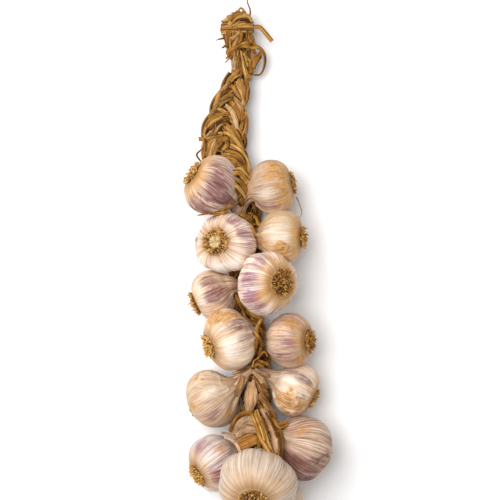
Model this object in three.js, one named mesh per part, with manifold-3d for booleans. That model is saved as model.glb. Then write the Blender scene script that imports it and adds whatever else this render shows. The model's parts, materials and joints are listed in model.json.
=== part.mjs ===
// A garlic braid, lying down: fourteen bulbs of one variety, held by their dried leaves, which are
// plaited in three strands. Above the bulbs the plait runs into a bundle that is tied off in a knot.
// Millimetres. +Y runs up the braid to the knot, +X to its right, +Z up from the surface it lies on.
// Places are measured from a point on the surface beside the third and fourth bulbs.
import * as THREE from 'three';
import { mergeVertices } from 'three/addons/utils/BufferGeometryUtils.js';
import Module from 'manifold-3d';

const wasm = await Module();
wasm.setup();

// ---------------------------------------------------------------- driving dimensions

const GAP = 0.3;              // free space kept between two pieces that touch

// The plait
const PLAIT_PITCH = 66;       // length in which each strand comes back to its side
const PLAIT_SWING = 12.8;     // how far a strand's middle goes to either side
const PLAIT_LIFT = 7;         // how far it goes up and down as the strands cross
const PLAIT_STEEP = 1.8;      // how steeply it changes from over to under
const STRAND_WIDTH = 15.5;
const STRAND_THICK = 6.2;
const STRAND_ROLL = 0.25;     // share of its width that a strand loses where it turns at the side
const STRAND_GROOVE = 0.8;    // the two leaves of a strand meet in a groove, this share as high
const RINGS_PER_PITCH = 10;
const STRAND_SIDES = 8;

// A bulb, as shares of its widest radius: [distance from the root plate, radius, sides]
const CROWN_TIP = -0.09;
const CROWN = [[-0.13, 0.25, 12], [-0.07, 0.4, 12], [0.05, 0.43, 24]];
const BODY = [[0.12, 0.66, 24], [0.36, 0.9, 24], [0.7, 1, 24], [1.02, 0.95, 24], [1.28, 0.77, 24]];
const SHOULDER = 1.46;
// The neck, [share of its length, radius, sides]: it bends from the shoulder into the plait
const NECK = [[0, 0.55, 24], [0.26, 0.37, 12], [0.6, 0.26, 12], [1, 0.21, 12]];
const NECK_BEND = 0.35;       // share of its length that the neck runs straight on before it bends
const WIDEST = 0.7;           // distance from the root plate to the widest circle
const CLOVE_RELIEF = 0.06;    // depth of the furrows between the cloves
const UNEVEN = 0.03;          // how far a bulb is from round

// The bulbs, from the top of the braid down. at: middle of the widest circle. root: direction that
// the root plate faces. tip: end of the neck, in the plait.
const BULBS = [
  { name: 'bulb_first_left', at: [-36.5, 58.5, 38], root: [-0.8, 0.5, 0.28], tip: [-15, 42, 20],
    wide: 54, cloves: 8, turn: 0.4, color: 0xd9bcb4 },
  { name: 'bulb_first_right', at: [21.5, 57, 30], root: [0.93, 0.2, 0.1], tip: [-11.5, 31, 24],
    wide: 50, cloves: 6, turn: 1.1, color: 0xdcb896 },
  { name: 'bulb_second_left', at: [-22.5, 6, 38], root: [-0.42, 0.2, 0.88], tip: [-8, 9, 17],
    wide: 55, cloves: 8, turn: 2.0, color: 0xe6d0c4 },
  { name: 'bulb_second_right', at: [30, 12, 33], root: [0.93, 0, 0.2], tip: [3, 16.5, 17],
    wide: 49.5, cloves: 6, turn: 0.2, color: 0xe8cfae },
  { name: 'bulb_third_right', at: [16, -29.5, 52], root: [0.62, 0.03, 0.78], tip: [-3.5, -36, 18],
    wide: 56, cloves: 8, turn: 0.9, color: 0xdfc3b2 },
  { name: 'bulb_third_left', at: [-34.5, -41, 23.8], root: [-0.9, -0.42, -0.05], tip: [-9, -37, 18],
    wide: 46.5, cloves: 6, turn: 1.7, color: 0xdcc3bb },
  { name: 'bulb_fourth_left', at: [-20, -80.5, 43], root: [-0.87, -0.3, 0.38], tip: [-2, -74, 16],
    wide: 54, cloves: 8, turn: 2.6, color: 0xe9d6c4 },
  { name: 'bulb_fourth_right', at: [37, -81, 34], root: [0.9, 0, 0.4], tip: [5.5, -78, 24],
    wide: 50, cloves: 6, turn: 0.5, color: 0xd6b6ac },
  { name: 'bulb_fifth_left', at: [-35, -135.5, 24.2], root: [-0.8, -0.5, -0.3], tip: [-3.5, -114, 25],
    wide: 53, cloves: 6, turn: 1.3, color: 0xd9bda2 },
  { name: 'bulb_fifth_right', at: [42.5, -127, 23.7], root: [0.88, -0.4, 0.15], tip: [5.5, -109, 27],
    wide: 49, cloves: 8, turn: 2.2, color: 0xe6cbb4 },
  { name: 'bulb_sixth_left', at: [-32.5, -192.5, 26.9], root: [-0.78, -0.5, 0.35],
    tip: [-3.5, -172, 21], wide: 54, cloves: 8, turn: 0.8, color: 0xd6bcb6 },
  { name: 'bulb_sixth_right', at: [47.5, -178.5, 30.1], root: [0.82, -0.35, -0.45],
    tip: [20, -164, 22], wide: 61, cloves: 6, turn: 1.9, color: 0xc9a594 },
  { name: 'bulb_bottom_front', at: [6, -207, 65], root: [-0.14, -0.54, 0.83], tip: [7, -184, 24],
    wide: 67, cloves: 8, turn: 0.1, color: 0xe8d3bf },
  { name: 'bulb_bottom_back', at: [27, -229, 21.4], root: [0.4, -0.8, 0.2], tip: [15, -200, 15],
    wide: 44, cloves: 6, turn: 2.9, color: 0xd9c0ae },
];

// The middle line of the plait, from the bundle below the knot to its lower end
const PLAIT_LINE = [[-9.5, 156.5, 11], [-16.5, 139, 11.5], [-21, 122, 12], [-24, 108, 12.5],
  [-24.5, 94.5, 12.5], [-20, 79, 12], [-13, 64, 10.5], [-8, 50, 9.5], [-3, 32, 9], [0, 12, 9],
  [-4, -12, 9], [-7, -38, 9], [-2, -64, 9.5], [5, -89, 12], [6, -113, 16], [5, -136, 17],
  [8, -158, 16], [11, -181, 13], [12, -204, 10]];
// How full the plait is, at [share of its length, share of full swing and width]: slim where the
// bundle begins, full above the bulbs, and slimmer between them
const PLAIT_FULLNESS = [[0, 0.62], [0.05, 0.86], [0.1, 1.05], [0.16, 1.18], [0.2, 1.05],
  [0.26, 0.72], [0.6, 0.65], [0.75, 0.74], [0.9, 0.66], [1, 0.45]];

// The bundle that runs from the plait up into the knot:
// [y, middle x, middle z, half width, half height]
const BUNDLE = [[149, -9.5, 11, 5, 4], [156, -8.5, 11, 8.6, 7], [167, -7.5, 11, 8, 7],
  [177, -8.5, 11, 7.6, 6.8], [186, -10.5, 12, 10, 8], [195, -11.5, 13.2, 11.8, 9.2],
  [204, -11.5, 13.2, 12.2, 9.6], [211, -10.5, 13.2, 9.6, 8], [215.5, -9, 13.2, 5, 4.5]];
const BUNDLE_SIDES = 14;
const BUNDLE_FOLDS = 5;
const BUNDLE_RELIEF = 0.08;
// Cut leaf ends that stand out of the knot: [from, to, radius at the knot, radius at the end]
const CUT_ENDS = [
  [[-15, 209, 15], [-17.5, 214, 17], 2, 2.3], [[-18, 208.6, 14], [-27, 207.6, 15], 1.2, 0.9],
  [[-20, 193.4, 13], [-29.5, 191.5, 13], 1.4, 0.8], [[-17, 190, 15], [-25.5, 183, 16], 1.6, 0.9],
  [[-14, 184, 14], [-21.5, 174, 15], 1.4, 0.8],
];
const CUT_END_SIDES = 5;

// Leaves that tie the bundle: they run round it from angle to angle, degrees seen from below,
// with 0 on the right and 90 on top. y: at the two ends. wide: at the ends and in the middle.
// rise: how far the middle stands off the bundle.
const TIES = [
  { name: 'tie_wide', from: 0, to: 360, y: [199.7, 199.7], wide: [7, 7], rise: 0, steps: 12 },
  { name: 'tie_narrow', from: 0, to: 360, y: [205, 205], wide: [2.2, 2.2], rise: 0, steps: 12 },
  { name: 'tie_arch', from: 165, to: 38, y: [208.8, 212], wide: [2.5, 4], rise: 2, steps: 6 },
  { name: 'tie_diagonal', from: -10, to: 185, y: [191.5, 178], wide: [5, 6], rise: 1, steps: 8 },
];
const TIE_CLEAR = 1.9;        // from the bundle's surface to the middle of a tie

// Loose leaves: thin wavy strips. points: middle line. wide: width at the start, in the middle and
// at the end. crown: how far the middle of a face is raised above its edges.
const LEAF_THICK = 1.2;
const LEAF_ACROSS = 2;        // cells across a leaf
const LEAF_WAVE = 0.7;        // how far its edges wave up and down
const LEAVES = [
  { name: 'knot_loop', wide: [1.6, 2, 1.6], crown: 0.2,
    points: [[-12.8, 211, 23], [-8.2, 219, 21], [-2, 212, 20.5]] },
  { name: 'leaf_loop_outer', wide: [4, 2.6, 1.6], crown: 0.5,
    points: [[1.5, 184.3, 16], [6, 184.5, 18], [12.5, 179, 15], [13.5, 170, 11], [9.5, 160.5, 8],
      [4, 159.5, 9]] },
  { name: 'leaf_loop_inner', wide: [2.4, 3, 2], crown: 0.4,
    points: [[11, 177, 17], [6.5, 171, 17.5], [2.4, 164, 14]] },
  { name: 'leaf_fold', wide: [6, 8, 4], crown: 1,
    points: [[4, -105, 31], [-5, -107.5, 33.5], [-13.5, -112.5, 36]] },
  { name: 'leaf_brown', wide: [3, 5, 4], crown: 0.8,
    points: [[6, -115, 32.5], [10, -123, 33.5], [12, -132, 31]] },
  { name: 'leaf_tan', wide: [6, 10, 7], crown: 1.6,
    points: [[1, -119, 32], [0, -131, 32], [-0.5, -144, 29]] },
  { name: 'leaf_grey', wide: [8, 11, 8], crown: 1.2,
    points: [[6.5, -129, 27], [11, -141, 28], [17, -152, 27]] },
  { name: 'leaf_arch', wide: [3, 4, 3.5], crown: 0.8,
    points: [[1, -148.5, 31], [-6, -148.5, 33], [-14, -155, 31], [-18, -164, 25]] },
  { name: 'leaf_pale', wide: [5, 8, 4], crown: 1.2,
    points: [[2.5, -155.5, 27.5], [-5, -157, 28], [-14, -166, 25]] },
  { name: 'leaf_cut', wide: [11, 12, 11], crown: 0.8,
    points: [[8, -167, 28.5], [0, -170.5, 29.5], [-8.5, -175, 28]] },
  { name: 'rib_left', wide: [4, 5, 4.5], crown: 1.2,
    points: [[4.6, -149, 32], [8, -163, 35], [8.5, -180, 35]] },
  { name: 'rib_middle', wide: [5, 6, 5], crown: 1.4,
    points: [[11, -149, 32.5], [14, -164, 39.5], [14.5, -181, 41]] },
  { name: 'rib_right', wide: [4, 5.5, 5], crown: 1.2,
    points: [[18, -152.5, 38], [20.5, -165, 47.5], [20.5, -179, 48]] },
];

// Round threads and stalks: [radius at the start, at the end]
const STALKS = [
  { name: 'hanging_thread', radius: [0.9, 0.5], sides: 6,
    points: [[-0.2, 212, 19], [0.2, 217, 18], [-2.5, 226, 17], [-1, 236, 17]] },
  { name: 'plait_thread', radius: [0.7, 0.5], sides: 6,
    points: [[-6.5, 130, 14], [-3, 119, 13], [-2.5, 108, 12], [-7, 97, 13]] },
  { name: 'pale_thread', radius: [0.8, 0.6], sides: 6,
    points: [[1.5, -99.5, 27], [3.5, -93.5, 29], [8, -91, 28]] },
  { name: 'side_stalk', radius: [1.8, 2.2], sides: 6,
    points: [[19, -157, 41], [27, -155.5, 42.5], [34, -154.5, 41.5]] },
];

// The cut hollow stem that sticks out of the tie
const STEM = [[4.5, 202.5, 15.5], [8.5, 202.3, 16], [13.5, 197.5, 16], [20, 189.5, 15]];
const STEM_RADIUS = 2;
const STEM_BORE = 1.2;
const STEM_STEPS = 6;
const STEM_HALF_SIDES = 4;

// ---------------------------------------------------------------- helpers

const vector = (p) => new THREE.Vector3(p[0], p[1], p[2]);

// Value at t of a table of [t, value] rows, eased between the rows
function along(table, t) {
  let row = 0;
  while (row < table.length - 2 && t > table[row + 1][0]) row += 1;
  const [t0, v0] = table[row];
  const [t1, v1] = table[row + 1];
  return v0 + (v1 - v0) * THREE.MathUtils.smoothstep(t, t0, t1);
}

// A closed body from rings of points that go round a path, with a point at each end. A ring may
// have half as many points as the one beside it. Without ends the rings join in a loop.
function bodyFromRings(rings, ends) {
  const points = [];
  const triangles = [];
  const first = rings.map((ring) => {
    const start = points.length;
    points.push(...ring);
    return start;
  });
  const band = (a, b) => {
    const n = rings[a].length;
    const m = rings[b].length;
    const A = (j) => first[a] + (j % n);
    const B = (j) => first[b] + (j % m);
    for (let j = 0; j < Math.min(n, m); j += 1) {
      if (n === m) {
        triangles.push([A(j), A(j + 1), B(j + 1)], [A(j), B(j + 1), B(j)]);
      } else if (n > m) {
        triangles.push([A(2 * j), A(2 * j + 1), B(j)], [A(2 * j + 1), B(j + 1), B(j)],
          [A(2 * j + 1), A(2 * j + 2), B(j + 1)]);
      } else {
        triangles.push([A(j), B(2 * j + 1), B(2 * j)], [A(j), A(j + 1), B(2 * j + 1)],
          [A(j + 1), B(2 * j + 2), B(2 * j + 1)]);
      }
    }
  };
  for (let i = 0; i + 1 < rings.length; i += 1) band(i, i + 1);
  if (ends) {
    const last = rings.length - 1;
    const [start, end] = [points.length, points.length + 1];
    points.push(...ends);
    rings[0].forEach((p, j, ring) => triangles.push([start, (j + 1) % ring.length, j]));
    rings[last].forEach((p, j, ring) => {
      triangles.push([end, first[last] + j, first[last] + ((j + 1) % ring.length)]);
    });
  } else {
    band(rings.length - 1, 0);
  }
  return new wasm.Manifold(new wasm.Mesh({
    numProp: 3,
    vertProperties: new Float32Array(points.flatMap((p) => p.toArray())),
    triVerts: new Uint32Array(triangles.flat()),
  }));
}

// A solid of one of three's own closed geometries
function bodyFromGeometry(geometry) {
  const bare = geometry.clone();
  bare.deleteAttribute('normal');
  bare.deleteAttribute('uv');
  const merged = mergeVertices(bare);
  return new wasm.Manifold(new wasm.Mesh({
    numProp: 3,
    vertProperties: merged.attributes.position.array,
    triVerts: merged.index.array,
  }));
}

// ---------------------------------------------------------------- bulbs

// Furrows between the cloves, and a bulb's own unevenness, at angle phi round its axis
function cloveShape(row, phi, relief) {
  const lobe = Math.abs(Math.sin((row.cloves * phi) / 2)) ** 0.8 - 0.6;
  const uneven = Math.cos(2 * phi + 3 * row.turn) + Math.cos(3 * phi + 5 * row.turn);
  return 1 + relief * lobe + UNEVEN * uneven * (relief / CLOVE_RELIEF);
}

// One bulb: root crown, body and neck as rings round one line, which is straight through the body
// and then bends into the plait. grow adds to every radius.
function bulb(row, grow = 0) {
  const radius = row.wide / 2;
  const root = vector(row.root).normalize();
  const at = vector(row.at);
  const tip = vector(row.tip);
  const onAxis = (s) => at.clone().addScaledVector(root, (WIDEST - s) * radius);
  const shoulder = onAxis(SHOULDER);
  const reach = shoulder.distanceTo(tip);
  const neck = new THREE.QuadraticBezierCurve3(
    shoulder, shoulder.clone().addScaledVector(root, -NECK_BEND * reach), tip);

  let side = new THREE.Vector3(0, 0, 1).cross(root);
  if (side.length() < 0.2) side.set(1, 0, 0);
  side.addScaledVector(root, -side.dot(root)).normalize().applyAxisAngle(root, row.turn);
  const ring = (centre, travel, share, sides, relief) => {
    side.addScaledVector(travel, -side.dot(travel)).normalize();
    const across = travel.clone().cross(side);
    return Array.from({ length: sides }, (_, j) => {
      const phi = (2 * Math.PI * j) / sides;
      const r = share * radius * cloveShape(row, phi, relief) + grow;
      return centre.clone().addScaledVector(side, r * Math.cos(phi))
        .addScaledVector(across, r * Math.sin(phi));
    });
  };
  const inward = root.clone().negate();
  const rings = [
    ...CROWN.map(([s, r, sides]) => ring(onAxis(s - grow / radius), inward, r, sides, 0)),
    ...BODY.map(([s, r, sides]) => ring(onAxis(s), inward, r, sides, CLOVE_RELIEF)),
    ...NECK.map(([f, r, sides]) => ring(neck.getPoint(f), neck.getTangent(f), r, sides, 0)),
  ];
  return bodyFromRings(rings, [onAxis(CROWN_TIP - grow / radius), tip.clone()
    .addScaledVector(neck.getTangent(1), grow)]);
}

// ---------------------------------------------------------------- plait

const plaitLine = new THREE.CatmullRomCurve3(PLAIT_LINE.map(vector), false, 'centripetal');

const strandPhase = (k, t) => (
  2 * Math.PI * (t * plaitLine.getLength() / PLAIT_PITCH + k / 3));

// Middle of strand k at share t of the plait's length: it swings from side to side once in a pitch
// and rises and falls twice, so that it lies over one strand and then under the other.
function strandPoint(k, t) {
  const theta = strandPhase(k, t);
  const full = along(PLAIT_FULLNESS, t);
  const travel = plaitLine.getTangentAt(t);
  const side = travel.clone().cross(new THREE.Vector3(0, 0, 1)).normalize().negate();
  const up = travel.clone().cross(side).normalize();
  if (up.z < 0) up.negate();
  const lift = Math.tanh(PLAIT_STEEP * Math.sin(2 * theta)) / Math.tanh(PLAIT_STEEP);
  return plaitLine.getPointAt(t).addScaledVector(side, PLAIT_SWING * full * Math.sin(theta))
    .addScaledVector(up, PLAIT_LIFT * full * lift);
}

// One strand of the plait: a flat bundle of two leaves side by side
function strand(k, grow = 0) {
  const steps = Math.round((RINGS_PER_PITCH * plaitLine.getLength()) / PLAIT_PITCH);
  const rings = [];
  const step = 1 / steps;
  for (let i = 0; i <= steps; i += 1) {
    const t = i * step;
    const middle = strandPoint(k, t);
    const travel = strandPoint(k, Math.min(1, t + step / 8))
      .sub(strandPoint(k, Math.max(0, t - step / 8))).normalize();
    const side = travel.clone().cross(new THREE.Vector3(0, 0, 1)).normalize();
    const up = side.clone().cross(travel);
    const full = along(PLAIT_FULLNESS, t);
    const roll = STRAND_ROLL * Math.sin(strandPhase(k, t)) ** 2;
    const a = (STRAND_WIDTH / 2) * full * (1 - roll) + grow;
    const b = (STRAND_THICK / 2) * full ** 0.5 + grow;
    rings.push(Array.from({ length: STRAND_SIDES }, (_, j) => {
      const angle = Math.PI / 2 - (2 * Math.PI * j) / STRAND_SIDES;
      const groove = j % (STRAND_SIDES / 2) === 0 ? STRAND_GROOVE : 1;
      return middle.clone().addScaledVector(side, a * Math.cos(angle))
        .addScaledVector(up, b * groove * Math.sin(angle));
    }));
  }
  return bodyFromRings(rings, [strandPoint(k, 0), strandPoint(k, 1)]);
}

// ---------------------------------------------------------------- bundle, ties and loose leaves

// Rings of a fixed number of points round a line of points, with the radius eased along it
function stalk({ points, radius, sides, steps = 5 }, grow = 0) {
  const line = new THREE.CatmullRomCurve3(points.map(vector), false, 'centripetal');
  const side = new THREE.Vector3(0, 0, 1);
  const rings = [];
  for (let i = 0; i <= steps; i += 1) {
    const travel = line.getTangent(i / steps);
    side.addScaledVector(travel, -side.dot(travel)).normalize();
    const across = travel.clone().cross(side);
    const r = THREE.MathUtils.lerp(radius[0], radius[1], i / steps) + grow;
    rings.push(Array.from({ length: sides }, (_, j) => {
      const phi = (2 * Math.PI * j) / sides;
      return line.getPoint(i / steps).addScaledVector(side, r * Math.cos(phi))
        .addScaledVector(across, r * Math.sin(phi));
    }));
  }
  return bodyFromRings(rings, [line.getPoint(0).addScaledVector(line.getTangent(0), -grow),
    line.getPoint(1).addScaledVector(line.getTangent(1), grow)]);
}

// Middle and half sizes of the bundle at height y along the braid
function bundleAt(y) {
  const at = (column) => along(BUNDLE.map((row) => [row[0], row[column]]), y);
  return { x: at(1), z: at(2), a: at(3), b: at(4) };
}

// The folded leaves that run up into the knot, with their cut ends standing out
function bundle(grow = 0) {
  const rings = BUNDLE.map(([y, x, z, a, b], row) => (
    Array.from({ length: BUNDLE_SIDES }, (_, j) => {
      const phi = (-2 * Math.PI * j) / BUNDLE_SIDES;
      const fold = 1 + BUNDLE_RELIEF * Math.cos(BUNDLE_FOLDS * phi + 0.5 * row);
      return new THREE.Vector3(x + (a * fold + grow) * Math.cos(phi), y,
        z + (b * fold + grow) * Math.sin(phi));
    })));
  const [low, high] = [BUNDLE[0], BUNDLE[BUNDLE.length - 1]];
  let whole = bodyFromRings(rings, [new THREE.Vector3(low[1], low[0] - grow, low[2]),
    new THREE.Vector3(high[1], high[0] + 1 + grow, high[2])]);
  for (const [from, to, thick, thin] of CUT_ENDS) {
    const end = { points: [from, to], radius: [thick, thin], sides: CUT_END_SIDES, steps: 1 };
    whole = whole.add(stalk(end, grow));
  }
  return whole;
}

// A strip along a line: side and up at each step give its width and the way it faces
function strip(frames, { crown, wave }, loop, grow) {
  const rings = frames.map(({ middle, side, up, wide }, i) => {
    const face = (sign) => Array.from({ length: LEAF_ACROSS + 1 }, (_, j) => {
      const u = (2 * j) / LEAF_ACROSS - 1;
      const height = crown * (1 - u * u) + wave * u * Math.sin(2.1 * i)
        + sign * (LEAF_THICK / 2 + grow);
      return middle.clone().addScaledVector(side, u * (wide / 2 + grow))
        .addScaledVector(up, height);
    });
    return [...face(1), ...face(-1).reverse()];
  });
  const last = frames[frames.length - 1];
  const ends = loop ? null : [frames[0].middle.clone().addScaledVector(frames[0].up, crown / 2),
    last.middle.clone().addScaledVector(last.up, crown / 2)];
  return bodyFromRings(rings, ends);
}

// A loose leaf, facing up
function leaf({ points, wide, crown, steps = 5 }, grow = 0) {
  const line = new THREE.CatmullRomCurve3(points.map(vector), false, 'centripetal');
  const table = [[0, wide[0]], [0.5, wide[1]], [1, wide[2]]];
  const frames = [];
  for (let i = 0; i <= steps; i += 1) {
    const travel = line.getTangent(i / steps);
    const side = travel.clone().cross(new THREE.Vector3(0, 0, 1)).normalize();
    frames.push({ middle: line.getPoint(i / steps), side, up: side.clone().cross(travel),
      wide: along(table, i / steps) });
  }
  return strip(frames, { crown, wave: LEAF_WAVE * Math.min(1, wide[1] / 6) }, false, grow);
}

// A leaf wound round the bundle
function tie({ from, to, y, wide, rise, steps }, grow = 0) {
  const loop = Math.abs(to - from) === 360;
  const frames = [];
  for (let i = 0; i < steps + (loop ? 0 : 1); i += 1) {
    const t = i / steps;
    const phi = THREE.MathUtils.degToRad(from + (to - from) * t);
    const height = y[0] + (y[1] - y[0]) * t;
    const around = bundleAt(height);
    const clear = TIE_CLEAR + rise * Math.sin(Math.PI * t);
    const up = new THREE.Vector3(Math.cos(phi), 0, Math.sin(phi));
    frames.push({
      middle: new THREE.Vector3(around.x + (around.a * (1 + BUNDLE_RELIEF) + clear) * up.x, height,
        around.z + (around.b * (1 + BUNDLE_RELIEF) + clear) * up.z),
      side: new THREE.Vector3(0, to > from ? 1 : -1, 0),
      up,
      wide: THREE.MathUtils.lerp(wide[0], wide[1], Math.sin(Math.PI * t)),
    });
  }
  return strip(frames, { crown: 0.3, wave: 0 }, loop, grow);
}

// The hollow stem, open at both ends
function stem(grow = 0) {
  const shape = new THREE.Shape().absarc(0, 0, STEM_RADIUS + grow, 0, 2 * Math.PI);
  if (!grow) shape.holes.push(new THREE.Path().absarc(0, 0, STEM_BORE, 0, 2 * Math.PI, true));
  return bodyFromGeometry(new THREE.ExtrudeGeometry(shape, {
    steps: STEM_STEPS,
    curveSegments: STEM_HALF_SIDES,
    extrudePath: new THREE.CatmullRomCurve3(STEM.map(vector), false, 'centripetal'),
  }));
}

// ---------------------------------------------------------------- the whole braid

const largest = (solid) => solid.decompose().reduce((a, b) => (a.volume() > b.volume() ? a : b));
const meets = (a, b) => {
  const [p, q] = [a.boundingBox(), b.boundingBox()];
  return [0, 1, 2].every((i) => p.min[i] < q.max[i] && q.min[i] < p.max[i]);
};
const SPACE = [600, 800, 200];
const aboveSurface = bodyFromGeometry(new THREE.BoxGeometry(...SPACE)
  .translate(0, 0, SPACE[2] / 2));

// Pieces in the order in which they hold their shape: each is cut clear of those before it
const pieces = [];
function place(name, make, color, roughness) {
  let solid = make(0);
  for (const { grown } of pieces) {
    if (meets(solid, grown) && solid.intersect(grown).volume() > 0) {
      solid = largest(solid.subtract(grown));
    }
  }
  if (solid.boundingBox().min[2] < 0) solid = largest(solid.intersect(aboveSurface));
  pieces.push({ name, solid, grown: make(GAP).add(solid), color, roughness });
}

const LEAF_COLOR = 0xb98a3f;
const SKIN_ROUGHNESS = 0.55;
const LEAF_ROUGHNESS = 0.7;
['plait_strand_a', 'plait_strand_b', 'plait_strand_c'].forEach((name, k) => {
  place(name, (grow) => strand(k, grow), LEAF_COLOR, LEAF_ROUGHNESS);
});
place('knot_bundle', bundle, 0xb58440, LEAF_ROUGHNESS);
for (const row of TIES) place(row.name, (grow) => tie(row, grow), 0xc4914c, LEAF_ROUGHNESS);
place('hollow_stem', stem, 0xc9913f, LEAF_ROUGHNESS);
const fromTheTop = [...BULBS].sort((a, b) => b.at[2] - a.at[2]);
for (const row of fromTheTop) {
  place(row.name, (grow) => bulb(row, grow), row.color, SKIN_ROUGHNESS);
}
for (const row of LEAVES) place(row.name, (grow) => leaf(row, grow), 0xc69a5e, LEAF_ROUGHNESS);
for (const row of STALKS) place(row.name, (grow) => stalk(row, grow), 0xa87a3a, LEAF_ROUGHNESS);

const group = new THREE.Group();
const box = new THREE.Box3();
for (const { name, solid, color, roughness } of pieces) {
  const { vertProperties, triVerts } = solid.getMesh();
  const geometry = new THREE.BufferGeometry();
  geometry.setAttribute('position', new THREE.BufferAttribute(vertProperties, 3));
  geometry.setIndex(new THREE.BufferAttribute(triVerts, 1));
  const mesh = new THREE.Mesh(geometry, new THREE.MeshStandardMaterial({
    color, roughness, metalness: 0, flatShading: true,
  }));
  mesh.name = name;
  group.add(mesh);
  box.expandByObject(mesh);
}
// The origin is on the surface, under the middle of the whole
group.position.set(-(box.min.x + box.max.x) / 2, -(box.min.y + box.max.y) / 2, -box.min.z);

export default group;
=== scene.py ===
# %% [markdown]
# # A garlic braid
# Fourteen cured bulbs hang on a plait of their own dried leaves, and the plait ends in a knot.
# Here the braid lies flat and is seen from above. Its solids are already made and packed, to
# scale: this script loads them as a fixed frame and dresses each one with a finer surface that
# keeps its form. Lengths are in millimetres until a mesh is built, when they turn into metres.

# %% Load the frame
import json

import bpy
import numpy as np
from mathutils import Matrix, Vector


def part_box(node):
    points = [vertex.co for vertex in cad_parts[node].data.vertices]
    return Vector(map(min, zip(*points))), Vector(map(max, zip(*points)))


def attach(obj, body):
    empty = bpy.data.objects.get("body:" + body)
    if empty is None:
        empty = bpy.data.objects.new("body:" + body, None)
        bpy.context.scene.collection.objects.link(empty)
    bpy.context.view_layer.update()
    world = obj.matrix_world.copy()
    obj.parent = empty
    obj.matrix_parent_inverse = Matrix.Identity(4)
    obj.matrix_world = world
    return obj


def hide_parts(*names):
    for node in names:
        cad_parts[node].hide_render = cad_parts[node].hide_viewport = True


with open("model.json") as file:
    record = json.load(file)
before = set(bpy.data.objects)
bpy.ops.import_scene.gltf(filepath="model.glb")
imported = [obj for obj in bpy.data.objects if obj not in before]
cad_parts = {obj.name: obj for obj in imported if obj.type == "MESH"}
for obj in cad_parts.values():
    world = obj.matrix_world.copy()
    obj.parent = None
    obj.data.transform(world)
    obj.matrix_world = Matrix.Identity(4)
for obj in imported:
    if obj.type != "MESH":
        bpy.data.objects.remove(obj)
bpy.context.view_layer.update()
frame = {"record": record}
MM = 0.001                                  # a millimetre in the frame's metres

# %% [markdown]
# Places on the braid are measured from a point on the surface beside the third bulbs, because
# that keeps the numbers short. The frame's own origin is under the middle of the whole, so one
# fixed step leads from the first to the second. Every random draw below starts from a seed, so
# that the braid comes out the same each time.

# %% Places and lines
SHIFT = np.array([-7.101, 5.990, 0.0])      # from the braid's own point to the frame's, mm
UP = np.array([0, 0, 1.0])
ANY_ANGLE = (0, 6.28)                       # a drawn angle lies between these, in radians
FINE = 40                                   # steps of a smooth line between two given points


def unit(vectors):
    """Vectors of length one: each is divided by its own length."""
    return vectors / np.maximum(np.linalg.norm(vectors, axis=-1, keepdims=True), 1e-9)


def ramp(value, low, high):
    """0 below low and 1 above high, and between them the smooth step 3u² - 2u³."""
    u = np.clip((np.asarray(value, float) - low) / (high - low), 0, 1)
    return u * u * (3 - 2 * u)


def eased(table, at):
    """The value at `at` of a table of (place, value) rows, with a smooth step from row to row."""
    place, value = np.array(table, float).T
    row = np.clip(np.searchsorted(place, at) - 1, 0, len(place) - 2)
    return value[row] + (value[row + 1] - value[row]) * ramp(at, place[row], place[row + 1])


def smooth_line(points, count):
    """count points, evenly spaced, on a smooth line through the given ones: a Catmull-Rom curve
    whose time from point to point is the square root of their distance, so it never loops."""
    p = np.asarray(points, float)
    p = np.vstack([2 * p[0] - p[1], p, 2 * p[-1] - p[-2]])
    gap = np.linalg.norm(np.diff(p, axis=0), axis=1) ** 0.5
    u = np.linspace(0, 1, FINE, endpoint=False)[:, None]
    pieces = []
    for a, b, c, d, ab, bc, cd in zip(p, p[1:], p[2:], p[3:], gap, gap[1:], gap[2:]):
        start = bc * ((b - a) / ab - (c - a) / (ab + bc) + (c - b) / bc)
        end = bc * ((c - b) / bc - (d - b) / (bc + cd) + (d - c) / cd)
        pieces.append(b + u * start + u ** 2 * (3 * (c - b) - 2 * start - end)
                      + u ** 3 * (2 * (b - c) + start + end))
    fine = np.vstack(pieces + [p[-2:-1]])
    along = np.r_[0, np.cumsum(np.linalg.norm(np.diff(fine, axis=0), axis=1))]
    stops = np.linspace(0, along[-1], count)
    return np.stack([np.interp(stops, along, column) for column in fine.T], 1)


def directions(line):
    """The line's direction at each point, worked out from the points on both sides of it."""
    return unit(np.gradient(line, axis=0))


def length_of(line):
    """The sum of the distances from point to point."""
    return np.linalg.norm(np.diff(line, axis=0), axis=1).sum()


def angles(count):
    """count angles, in radians, that share out a full turn evenly."""
    return np.arange(count) / count * 2 * np.pi


bend = smooth_line([[0, 0, 0], [10, 5, 0], [20, 0, 0]], 5)
print("a test line,", np.round(length_of(bend), 1), "mm long, starts towards", directions(bend)[0])

# %% [markdown]
# Almost everything here is a closed skin round a line: a bulb, a root, a leaf, a thread. All of
# them are stacks of rings. One class collects such stacks, joins neighbouring rings with quads,
# closes both ends with a fan of triangles, turns any stack that came out inside out, and writes
# the whole lot into one mesh at once with foreach_set. Extra numbers that a material needs, such
# as how far round a bulb a point lies, travel along as named attributes.

# %% Joining rings into a mesh


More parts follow.
